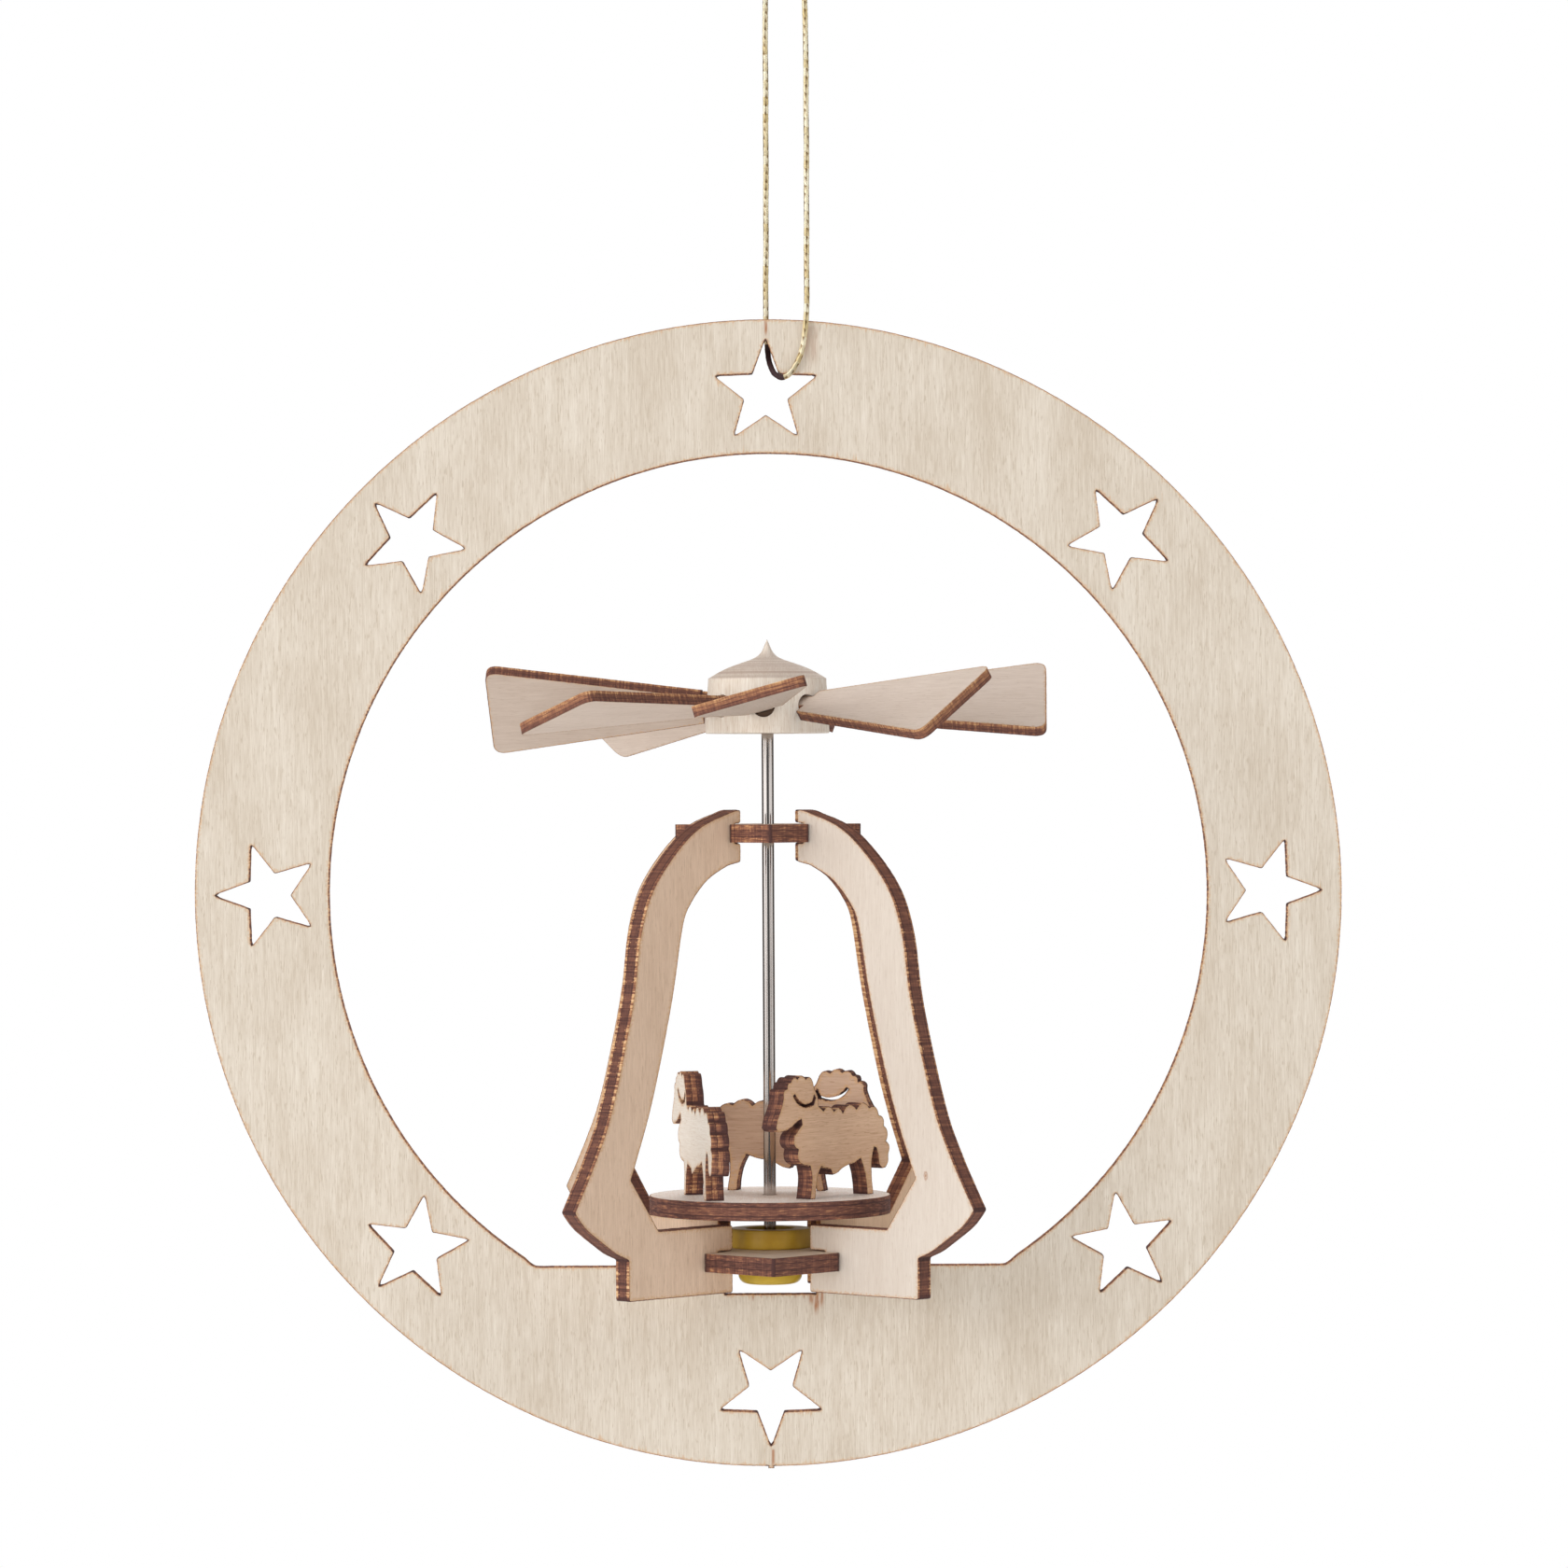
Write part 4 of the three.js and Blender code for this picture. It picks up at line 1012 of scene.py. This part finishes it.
hub_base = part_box("hub")[0].z
crown_curve = smooth_route([(r, 0, h) for r, h in HUB_CROWN], LATHE_STEP)[0]
corners = [(0.0, HUB_BORE_DEPTH), (HUB_BORE_RADIUS, HUB_BORE_DEPTH), (HUB_BORE_RADIUS, 0.0),
           (HUB_BASE_RADIUS, 0.0), (HUB_SHOULDER_RADIUS, HUB_WALL), (0.0, HUB_WALL)]
profile = eased(corners, (0, 0, HUB_EASE, HUB_EASE, 0, 0))[:-1]
wall_top = Vector(profile.pop())
wall_foot = Vector(profile[-1])
for step in range(1, HUB_WALL_STEPS + 1):
    profile.append(tuple(wall_foot.lerp(wall_top, step / HUB_WALL_STEPS)))
profile += [(x, HUB_WALL + z) for x, _, z in crown_curve[1:]]
hub_mesh = turned_mesh("turned_hub", [(r, hub_base + h) for r, h in profile], axis_place, HUB_SIDES)
hub = add_piece("turned_hub", hub_mesh)

drills = bmesh.new()
for i in range(BLADE_COUNT):
    azimuth = math.radians(FIRST_BLADE_AZIMUTH + 360 / BLADE_COUNT * i)
    outward = Vector((math.cos(azimuth), math.sin(azimuth), 0))
    turn = outward.to_track_quat("Z", "Y").to_matrix().to_4x4()
    hole = Vector((axis_place.x, axis_place.y, hub_base + HUB_HOLE_HEIGHT))
    middle = hole + outward * (HUB_HOLE_FLOOR + DRILL_LENGTH / 2)
    bmesh.ops.create_cone(drills, cap_ends=True, segments=DRILL_SIDES, radius1=HUB_HOLE_RADIUS,
                          radius2=HUB_HOLE_RADIUS, depth=DRILL_LENGTH,
                          matrix=Matrix.Translation(middle) @ turn)
drill_mesh = bpy.data.meshes.new("drills")
drills.to_mesh(drill_mesh)
drills.free()
drill = add_piece("drills", drill_mesh)
drilling = hub.modifiers.new("holes", "BOOLEAN")
drilling.object = drill
drilling.solver = "EXACT"
bpy.context.view_layer.update()
evaluated_hub = hub.evaluated_get(bpy.context.evaluated_depsgraph_get())
drilled_mesh = bpy.data.meshes.new_from_object(evaluated_hub)
hub.modifiers.clear()
hub.data = drilled_mesh
bpy.data.objects.remove(drill)
hub.data.materials.clear()
hub.data.set_sharp_from_angle(angle=HUB_SHARP_EDGE)
keep_places(hub, "turned", Vector((axis_place.x, axis_place.y, hub_base)))


def turned_wood(name):
    """Fine pale wood straight from the lathe: upright fibres on the wall, tool rings on the crown,
    and darker wood in the drilled holes."""
    material, tree, shader = new_material(name)
    place = surface_value(tree, "turned")
    x, y, height = split(tree, place)
    upright = add_node(tree, "CombineXYZ", {0: x, 1: height, 2: y}).outputs[0]
    grain = use_group(tree, "face_grain", Place=upright, Pale=from_srgb(*HUB_PALE),
                      Dark=from_srgb(*HUB_DARK), Contrast=1.2)
    level = add_node(tree, "VectorMath", {0: place, 1: (1, 1, 0)}, operation="MULTIPLY").outputs[0]
    radius = add_node(tree, "VectorMath", {0: level}, operation="LENGTH").outputs["Value"]
    across = add_values(tree, multiply(tree, radius, TOOL_RINGS_ACROSS),
                        multiply(tree, height, TOOL_RINGS_UP))
    lines = add_node(tree, "TexNoise", {"W": across, "Scale": 1.0, "Detail": 2.0},
                     noise_dimensions="1D").outputs[0]
    rings = multiply(tree, ramp(tree, height, *CROWN_EDGE),
                     ramp(tree, height, *FINIAL_EDGE, 1.0, 0.4),
                     ramp(tree, lines, 0.3, 0.75, 0.38, 0.82))
    colour = blend_colours(tree, rings, grain["Colour"], TOOL_RING_COLOUR)
    drilled = multiply(tree, ramp(tree, radius, *DRILLED_RADIUS, 1.0, 0.0),
                       ramp(tree, height, *DRILLED_LOW),
                       ramp(tree, height, *DRILLED_HIGH, 0.85, 0.0))
    colour = blend_colours(tree, drilled, colour, DRILLED_COLOUR)
    tree.links.new(colour, shader.inputs["Base Color"])
    shader.inputs["Roughness"].default_value = 0.62
    relief = add_values(tree, multiply(tree, lines, 1.2), grain["Height"])
    set_bump(tree, shader, relief, 0.3, 0.00005)
    return material


hub.data.materials.append(turned_wood("turned_wood"))
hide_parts("hub")
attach(hub, "rotor")

# Shaft
# A bright drawn steel pin that carries the hub and the disc, which are pressed on it. Its foot is
# ground to a point and turns in the bearing's glass.
SHAFT_SIDES = 64
SHAFT_RADIUS = 0.001
SHAFT_POINT = 0.0024
SHAFT_TIP_RADIUS = 0.00015
SHAFT_TIP_EASE, SHAFT_CONE_EASE, SHAFT_TOP_EASE = 0.00005, 0.0002, 0.0001
STEEL_BRIGHT, STEEL_DULL, STEEL_EDGE = (214, 208, 204), (190, 182, 177), (150, 140, 134)
DRAWN_LINES, DULL_PATCHES = (0.00007, 0.00007, 0.02), (0.004, 0.004, 0.02)

foot, top = shaft_low.z, shaft_high.z
corners = [(0.0, foot), (SHAFT_TIP_RADIUS, foot + SHAFT_TIP_RADIUS),
           (SHAFT_RADIUS, foot + SHAFT_POINT), (SHAFT_RADIUS, top), (0.0, top)]
profile = eased(corners, (0, SHAFT_TIP_EASE, SHAFT_CONE_EASE, SHAFT_TOP_EASE, 0))
pin = add_piece("steel_pin", turned_mesh("steel_pin", profile, axis_place, SHAFT_SIDES))
keep_places(pin, "drawn", axis_place)


def drawn_steel(name):
    """Bright steel with fine lines from drawing along it and a few duller patches."""
    material, tree, shader = new_material(name)
    place = surface_value(tree, "drawn")
    lines = noise(tree, place, DRAWN_LINES, detail=3.0)
    dull = noise(tree, place, DULL_PATCHES)
    tree.links.new(blend_colours(tree, dull, STEEL_BRIGHT, STEEL_DULL), shader.inputs["Base Color"])
    shader.inputs["Metallic"].default_value = 1.0
    shader.inputs["Specular Tint"].default_value = from_srgb(*STEEL_EDGE)
    tree.links.new(ramp(tree, dull, 0.3, 0.75, 0.12, 0.17), shader.inputs["Roughness"])
    set_bump(tree, shader, lines, 0.1, 0.000004)
    return material


pin.data.materials.append(drawn_steel("drawn_steel"))
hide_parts("shaft")
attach(pin, "rotor")

# Bearing cup and glass
# An olive-yellow moulded plastic cup hangs in the lower plate by its flange. A clear glass with a
# cone in its top lies in it, and the shaft's point turns in the cone.
CUP_SIDES = 96
CUP_CORNER_POINTS = 8
CUP_BODY_RADIUS, CUP_FLANGE_RADIUS = 0.0053, 0.0069
CUP_WALL, CUP_ROUNDING = 0.0013, 0.0018
CUP_FLANGE_HEIGHT, CUP_EASE = 0.0032, 0.00035
CUP_NECK_EASE, CUP_FLOOR_EASE = 0.0001, 0.0002
CUP_PALE, CUP_DEEP = (196, 158, 54), (180, 142, 44)
# Painted shade at the flange's top, and painted light shining through low down
CUP_RIM_SHADE_COLOUR, CUP_RIM_SHADE_HEIGHTS = (120, 98, 22), (0.0082, 0.0092)
CUP_GLOW_COLOUR, CUP_GLOW_HEIGHTS = (208, 182, 30), (0.001, 0.004)
CLOUD_WIDTH, RIPPLE_SIZE = 0.0032, (0.0016, 0.0016, 0.0009)
GLASS_CLEARANCE, GLASS_EASE, GLASS_CONE_EASE = 0.00003, 0.00025, 0.0001
GLASS_CONE_RADIUS, GLASS_CONE_DEPTH = 0.0019, 0.0017
GLASS_COLOUR, GLASS_RUBBED = (238, 244, 244), 0.0008

cup_low, cup_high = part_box("bearing_cup")
glass_low, glass_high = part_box("bearing_glass")
cup_place = (cup_low + cup_high) / 2
plate_top = cup_high.z - CUP_FLANGE_HEIGHT
inner = CUP_BODY_RADIUS - CUP_WALL
corners = [(0.0, cup_low.z), (CUP_BODY_RADIUS, cup_low.z), (CUP_BODY_RADIUS, plate_top),
           (CUP_FLANGE_RADIUS, plate_top), (CUP_FLANGE_RADIUS, cup_high.z), (inner, cup_high.z),
           (inner, glass_low.z), (0.0, glass_low.z)]
ease = (0, CUP_ROUNDING, CUP_NECK_EASE, CUP_EASE, CUP_EASE, CUP_EASE, CUP_FLOOR_EASE, 0)
profile = eased(corners, ease, CUP_CORNER_POINTS)
cup = add_piece("flanged_cup", turned_mesh("flanged_cup", profile, cup_place, CUP_SIDES))
keep_places(cup, "moulded", cup_low)


def moulded_plastic(name):
    """Olive-yellow glossy plastic, cloudy inside, with a slightly rippled moulded skin. The
    flange's top is painted darker as the disc's shade on it, and the cup is painted brighter low
    down as light shining through it."""
    material, tree, shader = new_material(name)
    place = surface_value(tree, "moulded")
    height = split(tree, place)[2]
    clouds = noise(tree, place, CLOUD_WIDTH, detail=3.0)
    colour = blend_colours(tree, ramp(tree, clouds, 0.3, 0.7), CUP_PALE, CUP_DEEP)
    # Painted shade darkens the flange's top; painted light brightens the cup low down.
    rim = ramp(tree, height, *CUP_RIM_SHADE_HEIGHTS, 0.0, 0.35)
    glow = ramp(tree, height, *CUP_GLOW_HEIGHTS, 0.35, 0.0)
    colour = blend_colours(tree, rim, colour, CUP_RIM_SHADE_COLOUR)
    colour = blend_colours(tree, glow, colour, CUP_GLOW_COLOUR)
    tree.links.new(colour, shader.inputs["Base Color"])
    tree.links.new(ramp(tree, clouds, 0.3, 0.7, 0.32, 0.42), shader.inputs["Roughness"])
    set_bump(tree, shader, noise(tree, place, RIPPLE_SIZE), 0.3, 0.00004)
    return material


cup.data.materials.append(moulded_plastic("moulded_plastic"))
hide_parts("bearing_cup")
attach(cup, "frame")

radius = inner - GLASS_CLEARANCE
corners = [(0.0, glass_low.z), (radius, glass_low.z), (radius, glass_high.z),
           (GLASS_CONE_RADIUS, glass_high.z), (0.0, glass_high.z - GLASS_CONE_DEPTH)]
profile = eased(corners, (0, GLASS_EASE, GLASS_EASE, GLASS_CONE_EASE, 0))
glass = add_piece("cone_glass", turned_mesh("cone_glass", profile, cup_place, CUP_SIDES))
keep_places(glass, "moulded", cup_low)
material, tree, shader = new_material("clear_glass")
rubbed = noise(tree, surface_value(tree, "moulded"), GLASS_RUBBED, detail=3.0)
tree.links.new(ramp(tree, rubbed, 0.45, 0.8, 0.03, 0.22), shader.inputs["Roughness"])
shader.inputs["Base Color"].default_value = from_srgb(*GLASS_COLOUR)
shader.inputs["Transmission Weight"].default_value = 1.0
shader.inputs["IOR"].default_value = 1.5
glass.data.materials.append(material)
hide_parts("bearing_glass")
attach(glass, "frame")

# Floor and light
# A plain pale floor, and five round lamps, of which the one at the front left casts the main light.
# The lamps don't show in metal and gloss: these mirror a dim room with the white backdrop behind
# and a bright panel on each side of the camera.
FLOOR_DROP = 0.26
FLOOR_SIZE = 12.0
FLOOR_COLOUR = (240, 239, 237)
SHADOW_FADE = (0.45, 0.8)
LAMPS = {"key": ((-1.4, -1.5, 0.35), 1.5, 19.5), "side": ((-1.9, -0.35, 0.6), 1.0, 6.0),
         "fill": ((1.3, -1.4, 1.2), 1.2, 6.5), "front": ((0.0, -1.7, -0.08), 0.24, 4.4),
         "back": ((0.4, 1.6, 1.0), 1.6, 26)}
WHITE = (1, 1, 1, 1)
WORLD_LIGHT = 0.37
ROOM_LIGHT = 0.1
BACKDROP_EDGE = (0.78, 0.92)
PANEL_EDGE = (0.3, 0.5)
PANEL_BACK_EDGE = (-0.1, 0.1)
LEFT_PANEL, RIGHT_PANEL = 1.45, 0.95

half = FLOOR_SIZE / 2
floor_z = cad_low.z - FLOOR_DROP
floor_mesh = bpy.data.meshes.new("floor")
floor_mesh.from_pydata([(-half, -half, floor_z), (half, -half, floor_z), (half, half, floor_z),
                        (-half, half, floor_z)], [], [(0, 1, 2, 3)])
floor = add_piece("floor", floor_mesh)

floor_material, tree, shader = new_material("floor")
shader.inputs["Base Color"].default_value = from_srgb(*FLOOR_COLOUR)
shader.inputs["Roughness"].default_value = 0.9
shader.inputs["Specular IOR Level"].default_value = 0.1
place = add_node(tree, "NewGeometry").outputs["Position"]
flat = add_node(tree, "VectorMath", {0: place, 1: (1, 1, 0)}, operation="MULTIPLY").outputs[0]
distance = add_node(tree, "VectorMath", {0: flat}, operation="LENGTH").outputs["Value"]
heading = add_node(tree, "VectorMath", {0: flat}, operation="NORMALIZE").outputs[0]
rays = add_node(tree, "LightPath").outputs
seen = math_node(tree, "MAXIMUM", rays["Is Camera Ray"], rays["Is Glossy Ray"])
seen = math_node(tree, "MAXIMUM", seen, rays["Is Transmission Ray"])
faded = multiply(tree, ramp(tree, distance, *SHADOW_FADE), seen)
backdrop = ramp(tree, split(tree, heading)[1], *BACKDROP_EDGE, ROOM_LIGHT, 1.0)
dimmed = multiply(tree, rays["Is Glossy Ray"], math_node(tree, "SUBTRACT", 1.0, backdrop))
strength = math_node(tree, "SUBTRACT", 1.0, dimmed)
white = add_node(tree, "Emission", {"Color": WHITE, "Strength": strength})
mix = add_node(tree, "MixShader", {0: faded, 1: shader.outputs[0], 2: white.outputs[0]})
tree.links.new(mix.outputs[0], tree.nodes["Material Output"].inputs[0])
floor_mesh.materials.append(floor_material)

world = bpy.data.worlds.new("studio")
bpy.context.scene.world = world
world.use_nodes = True
tree = world.node_tree
tree.nodes.clear()
rays = add_node(tree, "LightPath").outputs
seen = math_node(tree, "MAXIMUM", rays["Is Camera Ray"], rays["Is Transmission Ray"])
to_right, to_back, _ = split(tree, add_node(tree, "TexCoord").outputs["Generated"])
backdrop = ramp(tree, to_back, *BACKDROP_EDGE, ROOM_LIGHT, 1.0)
left = ramp(tree, multiply(tree, to_right, -1.0), *PANEL_EDGE, 0.0, LEFT_PANEL)
right = ramp(tree, to_right, *PANEL_EDGE, 0.0, RIGHT_PANEL)
in_front = ramp(tree, to_back, *PANEL_BACK_EDGE, 1.0, 0.0)
panels = multiply(tree, add_values(tree, left, right), in_front)
room = add_values(tree, backdrop, panels)
mirrored = add_node(tree, "Background", {"Color": WHITE, "Strength": room})
lit = add_node(tree, "Background", {"Color": WHITE, "Strength": WORLD_LIGHT})
white = add_node(tree, "Background", {"Color": WHITE, "Strength": 1.0})
mix = add_node(tree, "MixShader",
               {0: rays["Is Glossy Ray"], 1: lit.outputs[0], 2: mirrored.outputs[0]})
mix = add_node(tree, "MixShader", {0: seen, 1: mix.outputs[0], 2: white.outputs[0]})
add_node(tree, "OutputWorld", {0: mix.outputs[0]})

middle = (cad_low + cad_high) / 2
for name, (place, size, power) in LAMPS.items():
    lamp = bpy.data.objects.new(name, bpy.data.lights.new(name, "AREA"))
    lamp.data.shape = "DISK"
    lamp.data.size = size
    lamp.data.energy = power
    lamp.location = middle + Vector(place)
    lamp.rotation_euler = (middle - lamp.location).to_track_quat("-Z", "Y").to_euler()
    lamp.visible_glossy = False
    bpy.context.scene.collection.objects.link(lamp)

bpy.context.scene.view_settings.view_transform = "Standard"
